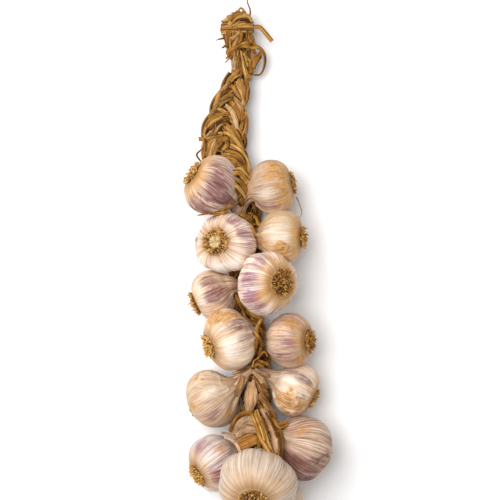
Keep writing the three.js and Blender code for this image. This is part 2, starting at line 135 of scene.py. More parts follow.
class Skin:
    """Stacks of rings that become one mesh."""

    def __init__(self):
        self.points, self.quads, self.fans, self.looks, self.total = [], [], [], {}, 0

    def add(self, rings, **looks):
        """rings is an array of (rings, points round a ring, 3); each look has one vector a point."""
        n, m = rings.shape[:2]
        i, j = np.meshgrid(np.arange(n - 1) * m, np.arange(m), indexing="ij")
        k = (j + 1) % m
        quads = np.stack([i + j, i + k, i + m + k, i + m + j], -1).reshape(-1, 4)
        round_, after, pole = np.arange(m), (np.arange(m) + 1) % m, np.full(m, n * m)
        fans = np.vstack([np.stack([pole, after, round_], 1),
                          np.stack([pole + 1, (n - 1) * m + round_, (n - 1) * m + after], 1)])
        close = lambda a: np.vstack([a.reshape(-1, 3), a[0].mean(0), a[-1].mean(0)])
        points = close(rings)
        a, b, c, d = (points[quads[:, q]] - points[0] for q in range(4))
        if np.einsum("ij,ij->", a, np.cross(b, c)) + np.einsum("ij,ij->", a, np.cross(c, d)) < 0:
            quads, fans = quads[:, ::-1], fans[:, ::-1]
        self.points.append(points)
        self.quads.append(quads + self.total)
        self.fans.append(fans + self.total)
        for name, look in looks.items():
            self.looks.setdefault(name, []).append(close(np.broadcast_to(look, rings.shape)))
        self.total += len(points)

    def build(self, name, material, slot, *replaced, sharp=55):
        """Writes the mesh, in metres and in the frame's place, and hands the piece to the frame.
        Nothing sinks into the ground: what would is pressed flat where it rests. Faces that meet
        at more than sharp degrees keep an edge between them."""
        points = (np.vstack(self.points) + SHIFT) * MM
        points[:, 2] = np.maximum(points[:, 2], 0)
        quads, fans = np.vstack(self.quads), np.vstack(self.fans)
        corners = np.r_[quads.ravel(), fans.ravel()]
        mesh = bpy.data.meshes.new(name)
        mesh.vertices.add(len(points))
        mesh.vertices.foreach_set("co", points.ravel())
        mesh.loops.add(len(corners))
        mesh.loops.foreach_set("vertex_index", corners)
        mesh.polygons.add(len(quads) + len(fans))
        mesh.polygons.foreach_set("loop_start", np.r_[
            np.arange(len(quads)) * 4, quads.size + np.arange(len(fans)) * 3])
        mesh.update(calc_edges=True)
        for look, parts in self.looks.items():
            mesh.attributes.new(look, "FLOAT_VECTOR", "POINT").data.foreach_set(
                "vector", np.vstack(parts).ravel())
        mesh.shade_smooth()
        mesh.set_sharp_from_angle(angle=np.radians(sharp))
        mesh.materials.append(material)
        piece = bpy.data.objects.new(name, mesh)
        bpy.context.scene.collection.objects.link(piece)
        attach(piece, "root")
        if replaced:
            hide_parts(*replaced)
        print(f"{name}: {len(quads) * 2 + len(fans)} triangles, "
              f"{np.round(np.ptp(points, 0) / MM, 1).tolist()} mm")


# %% [markdown]
# A material is a recipe of nodes. Written out by hand such a recipe is long and hard to read, so
# two small helpers shorten it. `Wire` is a value on its way from node to node: sums, products and
# smooth steps of wires look like ordinary arithmetic. `Paint` holds one material and makes nodes.

# %% Writing materials as arithmetic


class Wire:
    """A value inside a material. Arithmetic on it adds the Math node that works it out."""

    def __init__(self, paint, socket):
        self.paint, self.socket = paint, socket

    def maths(self, operation, first, second):
        """A Math node on two values, each a wire or a plain number."""
        return self.paint.node("ShaderNodeMath", {"operation": operation}, {0: first, 1: second})

    def __add__(self, other):
        return self.maths("ADD", self, other)

    def __sub__(self, other):
        return self.maths("SUBTRACT", self, other)

    def __rsub__(self, other):
        return self.maths("SUBTRACT", other, self)

    def __mul__(self, other):
        return self.maths("MULTIPLY", self, other)

    __radd__, __rmul__ = __add__, __mul__

    def step(self, low, high):
        """0 below low, 1 above high, smooth between."""
        return self.paint.node("ShaderNodeMapRange", {"interpolation_type": "SMOOTHSTEP"},
                               {"Value": self, "From Min": low, "From Max": high})


class Paint:
    """One material and the nodes in it."""

    def __init__(self, name):
        self.material = bpy.data.materials.new(name)
        self.material.use_nodes = True
        self.tree = self.material.node_tree
        self.tree.nodes.clear()

    def node(self, kind, settings=None, inputs=None, output=0):
        """Adds a node, sets its settings first and then its sockets, and returns one output."""
        node = self.tree.nodes.new(kind)
        for key, value in (settings or {}).items():
            setattr(node, key, value)
        for key, value in (inputs or {}).items():
            if isinstance(value, Wire):
                self.tree.links.new(value.socket, node.inputs[key])
            else:
                node.inputs[key].default_value = value
        return Wire(self, node.outputs[output])

    def attribute(self, name):
        """The named numbers that the mesh carries at each point, as a vector."""
        return self.node("ShaderNodeAttribute", {"attribute_name": name}, output=1)

    def split(self, vector):
        """A vector's three numbers, each as a wire of its own."""
        separated = self.node("ShaderNodeSeparateXYZ", None, {0: vector})
        return [Wire(self, socket) for socket in separated.socket.node.outputs]

    def noise(self, vector, scale, detail=2.0, offset=0.0):
        """Smooth noise from about 0.3 to 0.7, read at the vector times a scale for each axis. The
        offset leads to another part of the same endless noise."""
        place = self.node("ShaderNodeVectorMath", {"operation": "MULTIPLY_ADD"},
                          {0: vector, 1: scale, 2: (offset, offset * 0.7, offset * 1.3)})
        return self.node("ShaderNodeTexNoise", None, {"Vector": place, "Scale": 1.0,
                                                      "Detail": detail, "Roughness": 0.55})

    def mix(self, share, first, second):
        """The first colour where share is 0, the second where it is 1. A Mix node's sockets 6 and
        7 take colours, and its output 2 gives one."""
        colours = [c if isinstance(c, Wire) else rgb(c) for c in (first, second)]
        return self.node("ShaderNodeMix", {"data_type": "RGBA"},
                         {0: share, 6: colours[0], 7: colours[1]}, output=2)

    def layers(self, colour, rows):
        """Lays colours over a first one, in turn. Each row says how much covers, and which."""
        for share, cover in rows:
            colour = self.mix(share, colour, cover)
        return colour

    def finish(self, colour, roughness, height, depth, shine=0.5):
        """Ends the recipe in one shader. height pushes the surface out by up to depth metres."""
        normal = self.node("ShaderNodeBump", None, {"Strength": 1.0, "Distance": depth,
                                                    "Height": height})
        shader = self.node("ShaderNodeBsdfPrincipled", None,
                           {"Base Color": colour, "Roughness": roughness, "Normal": normal,
                            "Specular IOR Level": shine})
        end = self.tree.nodes.new("ShaderNodeOutputMaterial")
        self.tree.links.new(shader.socket, end.inputs["Surface"])
        return self.material


def rgb(code):
    """A colour code of six hex digits as the linear numbers that Blender mixes, by the curve of
    the sRGB standard."""
    value = np.array([int(code[i:i + 2], 16) for i in (0, 2, 4)]) / 255
    linear = np.where(value > 0.04045, ((value + 0.055) / 1.055) ** 2.4, value / 12.92)
    return (*linear.tolist(), 1.0)


print("cream in linear numbers:", np.round(rgb("f3e6d6"), 3).tolist())

# %% [markdown]
# ## The bulbs' skins
# A cured bulb is wrapped in papery skins. They are cream, with fine veins that run from the root
# plate to the neck, washes of pink, and purple streaks along the same lines. So the pattern has to
# follow the bulb's meridians. Each bulb's mesh carries `meridian`, a point on a unit circle for
# the angle round the bulb and the distance from the root plate: noise that is squeezed round the
# circle and stretched along the distance makes veins that meet at the root, as on the real thing.
# A second attribute, `stain`, says where a bulb is purple, tan or bleached.

# %% Skin material


def skin_paint(name, ground, blush, light, vein, wine, cloudy, gold, rough, seed):
    """Papery garlic skin: seven noises on the bulb's meridians decide how much each colour covers
    of those below it. A share is a smooth step of a noise, times a strength from 0 to 1."""
    paint = Paint(name)
    meridian, stain, form = (paint.attribute(key) for key in ("meridian", "stain", "form"))
    purple, tan, pale = paint.split(stain)
    ridge, crease, ribbed = paint.split(form)
    out = paint.split(meridian)[2]
    # how fine each is round the bulb and along it, its detail, and its step from the bulb's seed
    cloud, band, silk, veins, dash, scuff, crust = (
        paint.noise(meridian, (round_, round_, along), detail, seed + later)
        for round_, along, detail, later in (
            (1.7, 1.3, 4, 0), (9, 0.7, 4, 11), (17, 0.8, 3, 3), (30, 1.1, 3, 7), (14, 2.6, 5, 23),
            (4, 3.4, 8, 17), (7, 6, 8, 31)))
    drawn = ribbed * (1 - pale * 0.6)
    # purple gathers in streaks: the stain and four of the patterns add up
    streak = purple * 0.65 + band * 1.5 + silk * 1.8 + dash * 1.6 + scuff * 1.2 - 3.05
    wash = purple.step(0.02, 0.5)
    deep = paint.mix(0.6, wine, "2a0a10")
    # the skin tears in ragged patches inside the tan stains
    torn = tan + scuff * 1.1 + silk * 0.5 + crust * 1.2 - 1.45
    # golden streaks run out from the root plate, each to its own length
    reach = out - band * 0.8 - silk * 0.5 + 0.62
    # the root plate: a near-black ground, partly its own dark brown and partly painted shade in the gaps
    # between the roots, with lighter crumbs over it
    plate_crumbs_and_shade = paint.layers("241304", [(scuff.step(0.4, 0.6), "8a5b1c"),
                                    (pale * (0.55 + 0.45 * scuff.step(0.42, 0.54)), "edc88c")])
    # paler along the raised ribs: the skin's pale veins, and painted highlight on the rib tops
    pale_vein_and_highlight = (ridge.step(0.15, 0.7) * 0.4 + silk.step(0.48, 0.62) * 0.45) * ribbed
    colour = paint.layers(ground, [
        (cloud.step(0.38, 0.62) * cloudy, blush),  # slow clouds
        (band.step(0.49, 0.64) * 0.5 * drawn, vein),  # broad bands
        (pale_vein_and_highlight, light),
        (veins.step(0.51, 0.58) * (0.22 + 0.4 * drawn), vein),  # thin veins
        # painted shade: darker in the furrows between the cloves
        (crease.step(0.3, 1.0) * 0.3 * ribbed, vein),  # furrows between the cloves
        (pale.step(0.1, 0.9) * (0.35 + 0.5 * silk.step(0.42, 0.56)), light),  # bleached places
        (wash * 0.2, wine),  # purple, first as a thin wash and then in streaks
        (wash * streak.step(-0.05, 0.4) * 0.7, wine),
        (wash * veins.step(0.49, 0.56) * 0.5, wine),
        (wash * streak.step(0.45, 0.9) * 0.75, deep),
        (torn.step(0.1, 0.7) * 0.6, "d49d58"),  # tan all over
        (torn.step(0.44, 0.58) * 0.35, "dba968"),  # lighter inside
        (torn.step(0.4, 0.5) * (1 - torn.step(0.52, 0.7)) * 0.4, "bf7f33"),  # the torn rim
        (torn.step(0.25, 0.75) * crust.step(0.47, 0.6) * 0.6, "c4873a"),  # golden crumbs
        (torn.step(0.6, 1.0) * (1 - crust.step(0.43, 0.5)) * 0.6, "94705a"),  # greyish specks
        (torn.step(0.4, 0.7) * dash.step(0.53, 0.63) * 0.7, "7d5026"),  # dark dashes
        ((1 - reach.step(0.0, 0.34)) * gold, "d0994f"),
        ((1 - out.step(0.03, 0.15)) * 0.55, "93651f"),  # round the plate
        (out.step(1.2, 1.8) * (0.4 + 0.6 * band.step(0.4, 0.6)) * 0.75, "a87c58"),  # the neck
        (1 - out.step(-0.03, 0.02), plate_crumbs_and_shade)])  # the root plate
    height = silk * 0.4 + veins * 0.5 + scuff * 0.7 + torn.step(0.3, 0.8) * crust * 0.3
    return paint.finish(colour, cloud * 0.3 + (rough - 0.12), height, 0.0014, 0.35)


# %% [markdown]
# ## The shape of a bulb
# A bulb is a surface of revolution that has been spoilt a little. Its radius follows a profile from
# the root plate over the widest circle to the shoulder, and on along the neck, whose middle line
# bends into the plait. Then the furrows between the cloves are pressed in, the whole is made
# unround, and many fine ribs are raised along the meridians, where the real skin has its veins. On
# the neck the same skin is gathered, so there the ribs turn into deep pleats.

# %% The bulbs' places and sizes
# name: middle of the widest circle, direction the root plate faces, tip of the neck, width, cloves,
# turn of the pattern, how ribbed. Distances below are shares of half the width, from the root plate.
BULBS = {
    "bulb_first_left": ([-36.5, 58.5, 38], [-.8, .5, .28], [-15, 42, 20], 54, 8, .4, .9),
    "bulb_first_right": ([21.5, 57, 30], [.93, .2, .1], [-11.5, 31, 24], 50, 6, 1.1, .6),
    "bulb_second_left": ([-22.5, 6, 38], [-.43, .07, .9], [-8, 9, 17], 55, 8, 2.0, 1.0),
    "bulb_second_right": ([30, 12, 33], [.93, 0, .2], [3, 16.5, 17], 49.5, 6, .2, .35),
    "bulb_third_right": ([16, -29.5, 52], [.62, .03, .78], [-3.5, -36, 18], 56, 8, .9, 1.0),
    "bulb_third_left": ([-34.5, -41, 23.8], [-.9, -.42, -.05], [-9, -37, 18], 46.5, 6, 1.7, .6),
    "bulb_fourth_left": ([-20, -80.5, 43], [-.87, -.3, .38], [-2, -74, 16], 54, 8, 2.6, .6),
    "bulb_fourth_right": ([37, -81, 34], [.9, 0, .4], [5.5, -78, 24], 50, 6, .5, .8),
    "bulb_fifth_left": ([-35, -135.5, 24.2], [-.8, -.5, -.3], [-3.5, -114, 25], 53, 6, 1.3, .4),
    "bulb_fifth_right": ([42.5, -127, 23.7], [.88, -.4, .15], [5.5, -109, 27], 49, 8, 2.2, .5),
    "bulb_sixth_left": ([-32.5, -192.5, 26.9], [-.78, -.5, .35], [-3.5, -172, 21], 54, 8, .8, .6),
    "bulb_sixth_right": ([47.5, -178.5, 30.1], [.82, -.35, -.45], [20, -164, 22], 61, 6, 1.9, .8),
    "bulb_bottom_front": ([6, -207, 65], [-.14, -.54, .83], [7, -184, 24], 67, 8, .1, .6),
    "bulb_bottom_back": ([27, -229, 21.4], [.4, -.8, .2], [15, -200, 15], 44, 6, 2.9, .5),
}
PROFILE = [(-.04, .0), (-.05, .13), (-.04, .25), (-.01, .34), (.03, .385), (.06, .43), (.075, .52),
           (.14, .68), (.36, .9), (.7, 1.0), (1.02, .95), (1.28, .77), (1.46, .55)]
NECK = [(.26, .37), (.6, .26), (1, .21)]     # share of the neck's length, radius
WIDEST, SHOULDER, NECK_BEND = 0.7, 1.46, 0.35
PLATE = 0.385                                # share of the radius where the root plate ends
RINGS, ROUND = 108, 280                      # rings of a bulb's mesh, and points round each
PLACES = np.linspace(0, 1, RINGS)            # each ring's place along the profile
DIP = 20                                     # the first rings, where the distance dips below 0
# how far each kind of relief moves the skin, as a share of the radius
FURROW, UNROUND, DENT, VEIN, PLEAT, CRUMB = 0.06, 0.03, 0.007, 0.008, 0.085, 0.05
wide = [row[3] for row in BULBS.values()]
print(len(BULBS), "bulbs,", min(wide), "to", max(wide), "mm wide")

# %% [markdown]
# A bulb then needs two things: how far its skin is from the middle line in each direction, which
# `radii` works out, and where that is in space, which `point` says. Both take whole grids of
# angles and places at once. Anything that lies on a bulb asks the same two functions, so stains,
# roots and loose flakes fit the skin exactly.

# %% Bulb surface


class Bulb:
    """One bulb's surface, as a function of the angle round it and the place along its profile."""

    def __init__(self, name):
        at, root, tip, wide, self.cloves, self.turn, self.ribbed = BULBS[name]
        self.name, self.radius = name, wide / 2
        self.at, self.root, tip = np.array(at, float), unit(np.array(root, float)), np.array(tip, float)
        self.seed = sum(map(ord, name))
        draw = np.random.default_rng(self.seed)
        shoulder = self.on_axis(SHOULDER)
        reach = np.linalg.norm(shoulder - tip)
        bend = shoulder - self.root * NECK_BEND * reach
        profile = smooth_line(PROFILE + [(SHOULDER + f * reach / self.radius, r) for f, r in NECK], RINGS)
        self.out, self.share = profile.T
        # the middle line: straight to the shoulder, then the curve that starts there and ends at
        # the tip, weighted (1-f)², 2f(1-f) and f² between its three points
        f = np.clip((self.out - SHOULDER) * self.radius / reach, 0, 1)[:, None]
        curve = (1 - f) ** 2 * shoulder + 2 * f * (1 - f) * bend + f ** 2 * tip
        self.middle = np.where(f > 0, curve, self.on_axis(self.out[:, None]))
        travel = unit(2 * (1 - f) * (bend - shoulder) + 2 * f * (tip - bend))
        side = np.cross(UP, self.root)
        side = side if np.linalg.norm(side) > 0.2 else np.array([1.0, 0, 0])
        side = unit(side - side @ self.root * self.root)
        side = side * np.cos(self.turn) + np.cross(self.root, side) * np.sin(self.turn)
        sides = []
        for step in travel:
            side = unit(side - side @ step * step)
            sides.append(side)
        self.side = np.array(sides)
        self.across = np.cross(travel, self.side)
        self.phase = draw.uniform(*ANY_ANGLE, 8)
        self.dent = draw.uniform(-1, 1, (7, 3))
        # the distance from the root plate that colours the skin: below 0 on the plate itself
        on_plate = np.arange(RINGS) < np.argmax(self.share > PLATE)
        self.depth = np.where(on_plate, self.share - PLATE - 0.03, np.maximum(self.out, 0.02))

    def on_axis(self, share):
        """The point on the axis this share of the radius in from the root plate."""
        return self.at + self.root * (WIDEST - share) * self.radius

    def ridges(self, phi, out):
        """Raised veins: the squares of the positive halves of three bent waves round the bulb,
        23, 37 and 53 to the turn, added up."""
        a, b, c, d, e = self.phase[:5]
        bent = phi + 0.06 * np.sin(2 * phi + 2 * out + a) + 0.03 * np.sin(5 * phi - 3 * out + b)
        waves = ((23, c, 1.0), (37, d, 0.8), (53, e, 0.6))
        return sum(size * np.maximum(np.cos(count * bent + late), 0) ** 2 for count, late, size in waves)

    def crease(self, phi):
        """1 in the furrow between two cloves and 0 on a clove's back: 1 - |sin(n/2 × angle)|^0.8."""
        return 1 - np.abs(np.sin(self.cloves * phi / 2)) ** 0.8

    def radii(self, phi, out, share):
        """Radius times: furrows between the cloves, an unround sum of two and three waves round,
        slow dents, raised veins, pleats on the neck, and crumbs on the root plate."""
        body = ramp(out, 0.05, 0.2) * (1 - ramp(out, 1.2, SHOULDER))
        form = 1 + body * (FURROW * (0.4 - self.crease(phi)) + UNROUND * (
            np.cos(2 * phi + 3 * self.turn) + np.cos(3 * phi + 5 * self.turn)))
        for number, (size, tilt, late) in enumerate(self.dent):
            form = form + DENT * size * body * np.cos((number + 1) * phi + 3 * tilt * out + 3 * late)
        form = form + ramp(out, 0.05, 0.12) * VEIN * self.ribbed * (self.ridges(phi, out) - 0.6)
        pleat = (np.cos(7 * phi + 1.5 * out + self.phase[5])
                 + 0.7 * np.cos(12 * phi - 2 * out + self.phase[0]))
        form = form + ramp(out, 1.15, 1.6) * PLEAT * pleat
        lump = (1 - ramp(share, 0.36, 0.42)) * (1 - ramp(out, 0.1, 0.2)) * CRUMB
        return self.radius * share * (form + lump * np.cos(9 * phi + self.phase[5]) * np.cos(40 * share))

    def point(self, phi, place, lift=0.0):
        """Middle line + radius × (side × cos + across × sin), at a place along the profile from
        0 at the root's middle to 1 at the neck's tip. lift, in mm, moves it off the skin."""
        read = lambda table: np.stack([np.interp(place, PLACES, column) for column in table.T], -1)
        out, share = np.interp(place, PLACES, self.out), np.interp(place, PLACES, self.share)
        reach = self.radii(phi, out, share) + lift
        return read(self.middle) + reach[..., None] * (
            read(self.side) * np.cos(phi)[..., None] + read(self.across) * np.sin(phi)[..., None])

    def place_of(self, out):
        """The place along the profile that is this far out from the root plate."""
        return np.interp(out, self.out[DIP:], PLACES[DIP:])

    def read_out(self, place):
        """The distance out from the root plate at a place along the profile."""
        return np.interp(place, PLACES, self.out)

    def grid(self):
        """Angle and place at every point of the bulb's own mesh."""
        return np.meshgrid(angles(ROUND), PLACES)

    def nearest(self, x, y):
        """Angle and place of the skin's highest point over (x, y)."""
        phi, place = self.grid()
        p = self.point(phi, place)
        apart = np.hypot(p[..., 0] - x, p[..., 1] - y)
        score = np.where(apart < apart.min() + 1.5, p[..., 2], -1e3)
        best = np.unravel_index(np.argmax(score), score.shape)
        return phi[best], place[best]


bulbs = {name: Bulb(name) for name in BULBS}
for name, form in list(bulbs.items())[:3]:
    low, high = np.array(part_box(name)) / MM - SHIFT
    mine = form.point(*form.grid())
    print(name, "solid", np.round(high - low, 1), "skin", np.round(np.ptp(mine.reshape(-1, 3), 0), 1))

# %% [markdown]
# ## What colours each bulb
# No two bulbs are alike: one is washed with purple, another is bleached, a third has lost part of
# its outer skin and shows tan. Each stain is given as a place on the braid seen from above, with
# its length along the meridians, its width round the bulb, and its strength. It is looked up on
# the bulb's upper side and fades out from there like a bell curve.

# %% Stains: kind, x, y, length, width (mm), strength
STAINS = {
    "bulb_first_left": [("purple", -27, 55, 10, 9, 1), ("purple", -22, 44, 12, 8, 1),
                        ("purple", -34, 76, 16, 9, .5), ("purple", -46, 34, 10, 18, .75),
                        ("purple", -24, 70, 12, 8, .6), ("purple", -52, 44, 9, 9, .45),
                        ("purple", -36, 40, 14, 6, .5), ("tan", -54, 54, 7, 9, .45)],
    "bulb_first_right": [("tan", 27, 71, 13, 13, 1), ("tan", 36, 58, 12, 12, .9), ("tan", 14, 66, 5, 9, .6),
                         ("tan", 32, 44, 9, 12, .6), ("purple", 8, 56, 8, 6, .3),
                         ("purple", 12, 38, 10, 6, .45), ("purple", 22, 38, 10, 5, .4),
                         ("pale", 12, 48, 9, 9, .6)],
    "bulb_second_left": [("purple", -23, 19, 11, 10, .8), ("purple", -9, 15, 13, 8, .6),
                         ("purple", -46, 9, 6, 7, .8), ("purple", 0, 4, 9, 8, .3),
                         ("purple", -34, 24, 10, 8, .45), ("pale", -24, -13, 14, 24, 1)],
    # on this bulb the pale stain in the middle is a painted highlight where the light falls, and the tan one
    # by the neck at (9, 8) is painted brownish shade, with the plait reflected on that side
    "bulb_second_right": [("tan", 27, -1, 8, 10, 1), ("tan", 44, 4, 8, 10, .6), ("tan", 34, -10, 10, 8, .6),
                          ("tan", 9, 8, 8, 16, .5), ("tan", 18, 26, 10, 5, .35), ("pale", 24, 17, 18, 12, 1)],
    "bulb_third_right": [("purple", -2, -24, 11, 13, .6), ("purple", 0, -42, 12, 12, .55),
                         ("purple", 10, -8, 9, 10, .5), ("purple", 8, -52, 9, 8, .5),
                         ("tan", 38, -46, 8, 16, .55), ("tan", 28, -10, 9, 12, .45),
                         ("pale", 6, -30, 9, 8, .8), ("pale", -2, -34, 8, 6, .8)],
    "bulb_third_left": [("purple", -31, -37, 10, 8, .95), ("purple", -38, -26, 9, 9, .55),
                        ("purple", -20, -46, 8, 7, .35), ("pale", -44, -42, 10, 12, .6)],
    "bulb_fourth_left": [("tan", -32, -58, 10, 11, 1), ("tan", -20, -57, 10, 8, .8),
                         ("purple", -9, -64, 11, 8, .55), ("purple", -2, -76, 10, 8, .35),
                         ("pale", -22, -88, 16, 14, .9)],
    "bulb_fourth_right": [("purple", 33, -84, 13, 10, .4), ("purple", 28, -95, 13, 8, .4),
                          ("tan", 38, -62, 12, 10, .7), ("purple", 42, -74, 8, 6, .35),
                          ("tan", 50, -96, 8, 9, .8), ("tan", 22, -72, 8, 6, .45)],
    "bulb_fifth_left": [("tan", -46, -112, 10, 14, .4), ("tan", -54, -140, 14, 8, .45),
                        ("tan", -16, -142, 12, 7, .45), ("purple", -33, -148, 9, 6, .55),
                        ("purple", -38, -134, 8, 5, .3), ("pale", -34, -124, 12, 9, .6)],
    "bulb_fifth_right": [("purple", 50, -114, 11, 5, .75), ("purple", 38, -108, 11, 5, .45),
                         ("tan", 30, -137, 15, 13, .85), ("tan", 46, -141, 10, 12, .75),
                         ("pale", 32, -116, 12, 8, .7), ("purple", 47, -130, 5, 4, .55)],
    "bulb_sixth_left": [("purple", -29, -203, 15, 10, 1), ("purple", -44, -174, 12, 12, .35),
                        ("purple", -22, -196, 9, 8, .45), ("tan", -22, -176, 10, 8, .45),
                        ("pale", -42, -190, 10, 8, .5)],
    "bulb_sixth_right": [("purple", 42, -192, 20, 9, .95), ("purple", 52, -206, 16, 7, .85),
                         ("purple", 60, -186, 12, 6, .5), ("purple", 30, -184, 10, 10, .7),
                         ("tan", 46, -158, 16, 11, .38), ("tan", 62, -166, 12, 8, .25)],
    "bulb_bottom_front": [("purple", 14, -205, 14, 3, .35), ("tan", 28, -200, 12, 8, .4),
                          ("tan", -10, -196, 12, 10, .3), ("pale", 4, -198, 16, 10, .6)],
    "bulb_bottom_back": [("pale", 40, -220, 12, 12, .5)],
}
# the third colour, for the pale ribs, is also a painted highlight along the raised ribs
TINTS = {  # ground, blush, pale ribs, veins, wine, how much is blush, how golden by the root, how rough
    "bulb_first_left": ("e8c5a0", "c59779", "fdf4ec", "753c2b", "7e464a", .8, .8, .42),
    "bulb_first_right": ("caa884", "b49076", "f3e6d4", "8d5d33", "8f6058", .7, .8, .5),
    "bulb_second_left": ("fee8cc", "ecc4a8", "fef9f2", "b07664", "925a66", .6, .3, .42),
    "bulb_second_right": ("ccab82", "bb9467", "f2e4d2", "97663a", "966a58", .6, 1.0, .34),
    "bulb_third_right": ("fbe4cb", "e4bfa4", "fef6f0", "96543e", "946070", .7, .85, .42),
    "bulb_third_left": ("eccba2", "cba07d", "fdf6ee", "8e5a3c", "84504e", .7, .5, .45),
    "bulb_fourth_left": ("e8c9a6", "cea27c", "fbf4ea", "a56f46", "83575a", .6, .4, .42),
    "bulb_fourth_right": ("dab893", "c09077", "e8d4c5", "935e46", "95646a", .8, .7, .4),
    "bulb_fifth_left": ("d0b08f", "bb936f", "f9f2e2", "945e32", "8f6264", .7, .6, .36),
    "bulb_fifth_right": ("f2dcc2", "e2b894", "fbf2e4", "b07a50", "784a4c", .6, .85, .44),
    "bulb_sixth_left": ("dacbbf", "ba9a8e", "f8f0e8", "855650", "8a4b5d", .75, .6, .42),
    "bulb_sixth_right": ("c8a485", "a97a5b", "e9dccb", "76412c", "703c38", .85, .5, .45),
    "bulb_bottom_front": ("cab7a2", "b7987e", "eee5da", "a2754f", "98706a", .6, .45, .38),
    "bulb_bottom_back": ("dec0a4", "c9a284", "f4e3cf", "a67c58", "96706a", .6, .5, .42),
}
KINDS = ("purple", "tan", "pale")
SCAR = 0.2     # half width of the bald scar on one root plate, as a share of the radius
print(sum(map(len, STAINS.values())), "stains on", len(STAINS), "bulbs")


def stain_on(bulb, phi, place):
    """For each kind, the strongest bell: strength × e^-(along² + round²), with the distances
    measured in the stain's own length and width."""
    out = bulb.read_out(place)
    stain = np.zeros(phi.shape + (3,))
    for kind, x, y, length, width, strength in STAINS[bulb.name]:
        middle_phi, middle_place = bulb.nearest(x, y)
        round_ = (np.remainder(phi - middle_phi + np.pi, 2 * np.pi) - np.pi) * bulb.radius
        along = (out - bulb.read_out(middle_place)) * bulb.radius
        bell = strength * np.exp(-(along / length) ** 2 - (round_ / width) ** 2)
        stain[..., KINDS.index(kind)] = np.maximum(stain[..., KINDS.index(kind)], bell)
    stain *= ramp(out, 0.1, 0.25)[..., None]
    if bulb.name == "bulb_second_left":
        share = np.interp(place, PLACES, bulb.share)
        stain[..., 2] += (1 - ramp(share, SCAR * 0.8, SCAR * 1.2)) * (out < 0.1)
    return stain


def skin_looks(bulb, phi, place):
    """cos and sin of the angle, the distance from the root plate, the stains, and the relief."""
    depth = np.interp(place, PLACES, bulb.depth)
    out = bulb.read_out(place)
    return {"meridian": np.stack([np.cos(phi), np.sin(phi), depth], -1),
            "stain": stain_on(bulb, phi, place),
            "form": np.stack([bulb.ridges(phi, out), bulb.crease(phi), 0 * phi + bulb.ribbed], -1)}


# %% [markdown]
# Now each bulb gets its surface and its own material.

# %% Dress the bulbs
SLOTS = {row["node"]: row["material_slot"] for row in frame["record"]["subparts"]}
skins = {}
for name, bulb in bulbs.items():
    skins[name] = skin_paint(f"skin {name}", *TINTS[name], bulb.seed % 97)
    skin = Skin()
    grid = bulb.grid()
    skin.add(bulb.point(*grid), **skin_looks(bulb, *grid))
    skin.build(name.replace("bulb", "skin"), skins[name], SLOTS[name], name)

# %% [markdown]
# ## Roots
# Under each bulb the roots were cut to a short tuft, which dried into crumbly curls. A tuft is a
# couple of hundred bent tubes that start on the root plate and lean outwards. Each has only a few
# dozen faces, because together there are thousands. Their middle lines are worked out for a whole
# tuft at once, and each tube gets its own shade, from straw to dark brown.

# %% Root material


def root_paint():
    """Dry root: straw to brown by each root's own shade, darker towards its foot: painted shade where the
    roots crowd on the plate.
    """
    paint = Paint("dry roots")
    shade, height, _ = paint.split(paint.attribute("look"))
    grime = paint.noise(paint.node("ShaderNodeTexCoord", output=3), (900, 900, 900), 2)
    colour = paint.layers(paint.mix(shade, "8f5512", "f2c273"), [
        # painted shade: near-black towards each root's foot, in the gaps between the crowded roots
        ((1 - height.step(0.0, 0.8)) * 0.95, "2b1604"),
        (grime.step(0.5, 0.65) * 0.35, "7c4a1a")])
    return paint.finish(colour, 0.8, grime, 0.0002, 0.2)


root_brown = root_paint()
print(len(root_brown.node_tree.nodes), "nodes make the roots' colour")

# %% [markdown]
# A tube is the simplest thing to carry along a line: a small ring, square to the line, at each of
# its points. Roots, threads and torn fibres are all made this way.

# %% Root tufts
# name: curls, inner and outer radius of the tuft as shares of the bulb's, length in mm, how light
TUFTS = dict.fromkeys(BULBS, (230, 0.0, 0.38, 4.4, 0.0)) | {
    "bulb_first_right": (200, 0.0, 0.38, 2.8, 0.0),
    "bulb_second_left": (360, 0.2, 0.42, 2.8, 0.1),
    "bulb_second_right": (200, 0.0, 0.33, 4.6, 0.0),
    "bulb_third_left": (230, 0.0, 0.42, 4.6, 0.0),
    "bulb_third_right": (310, 0.0, 0.40, 4.8, -0.1),
    "bulb_fourth_left": (230, 0.0, 0.38, 4.4, 0.3),
    "bulb_fourth_right": (230, 0.0, 0.38, 4.4, -0.3),
    "bulb_fifth_left": (170, 0.0, 0.33, 3.0, 0.0),
    "bulb_fifth_right": (170, 0.0, 0.32, 3.2, 0.0),
    "bulb_sixth_left": (230, 0.0, 0.38, 4.4, 0.25),
    "bulb_bottom_front": (300, 0.02, 0.39, 4.4, 0.0),
    "bulb_bottom_back": (150, 0.0, 0.34, 3.2, 0.0),
}
CLUMPS = 15                                  # a tuft's roots stick together in so many clumps
ROOT_STEPS, ROOT_SIDES = 6, 4
# drawn for a clump: how far it strays, as a share of the gap to the next, its size and its shade
CLUMP_STRAY, CLUMP_SIZE, CLUMP_SHADE = 0.35, (0.55, 1.3), 0.25
# drawn for a root: how far it strays round the plate, its size, turns, curl and radius in mm
ROOT_STRAY, ROOT_SIZE, ROOT_TURNS = 0.16, (0.5, 1.1), (3, 9)
ROOT_CURL, ROOT_RADIUS = (0.4, 1.2), (0.3, 0.72)


def tube_rings(line, radius, sides):
    """Rings of a tube round a line: line + radius × (side × cos + up × sin), with the side found
    by taking the least-travelled axis square to the line's direction."""
    travel = directions(line)
    axis = np.eye(3)[np.argmin(np.abs(travel).mean(0))]
    side = unit(axis - (travel @ axis)[:, None] * travel)
    up = np.cross(travel, side)
    turn = angles(sides)[:, None]
    reach = np.broadcast_to(radius, len(line))[:, None, None]
    return line[:, None] + reach * (side[:, None] * np.cos(turn) + up[:, None] * np.sin(turn))


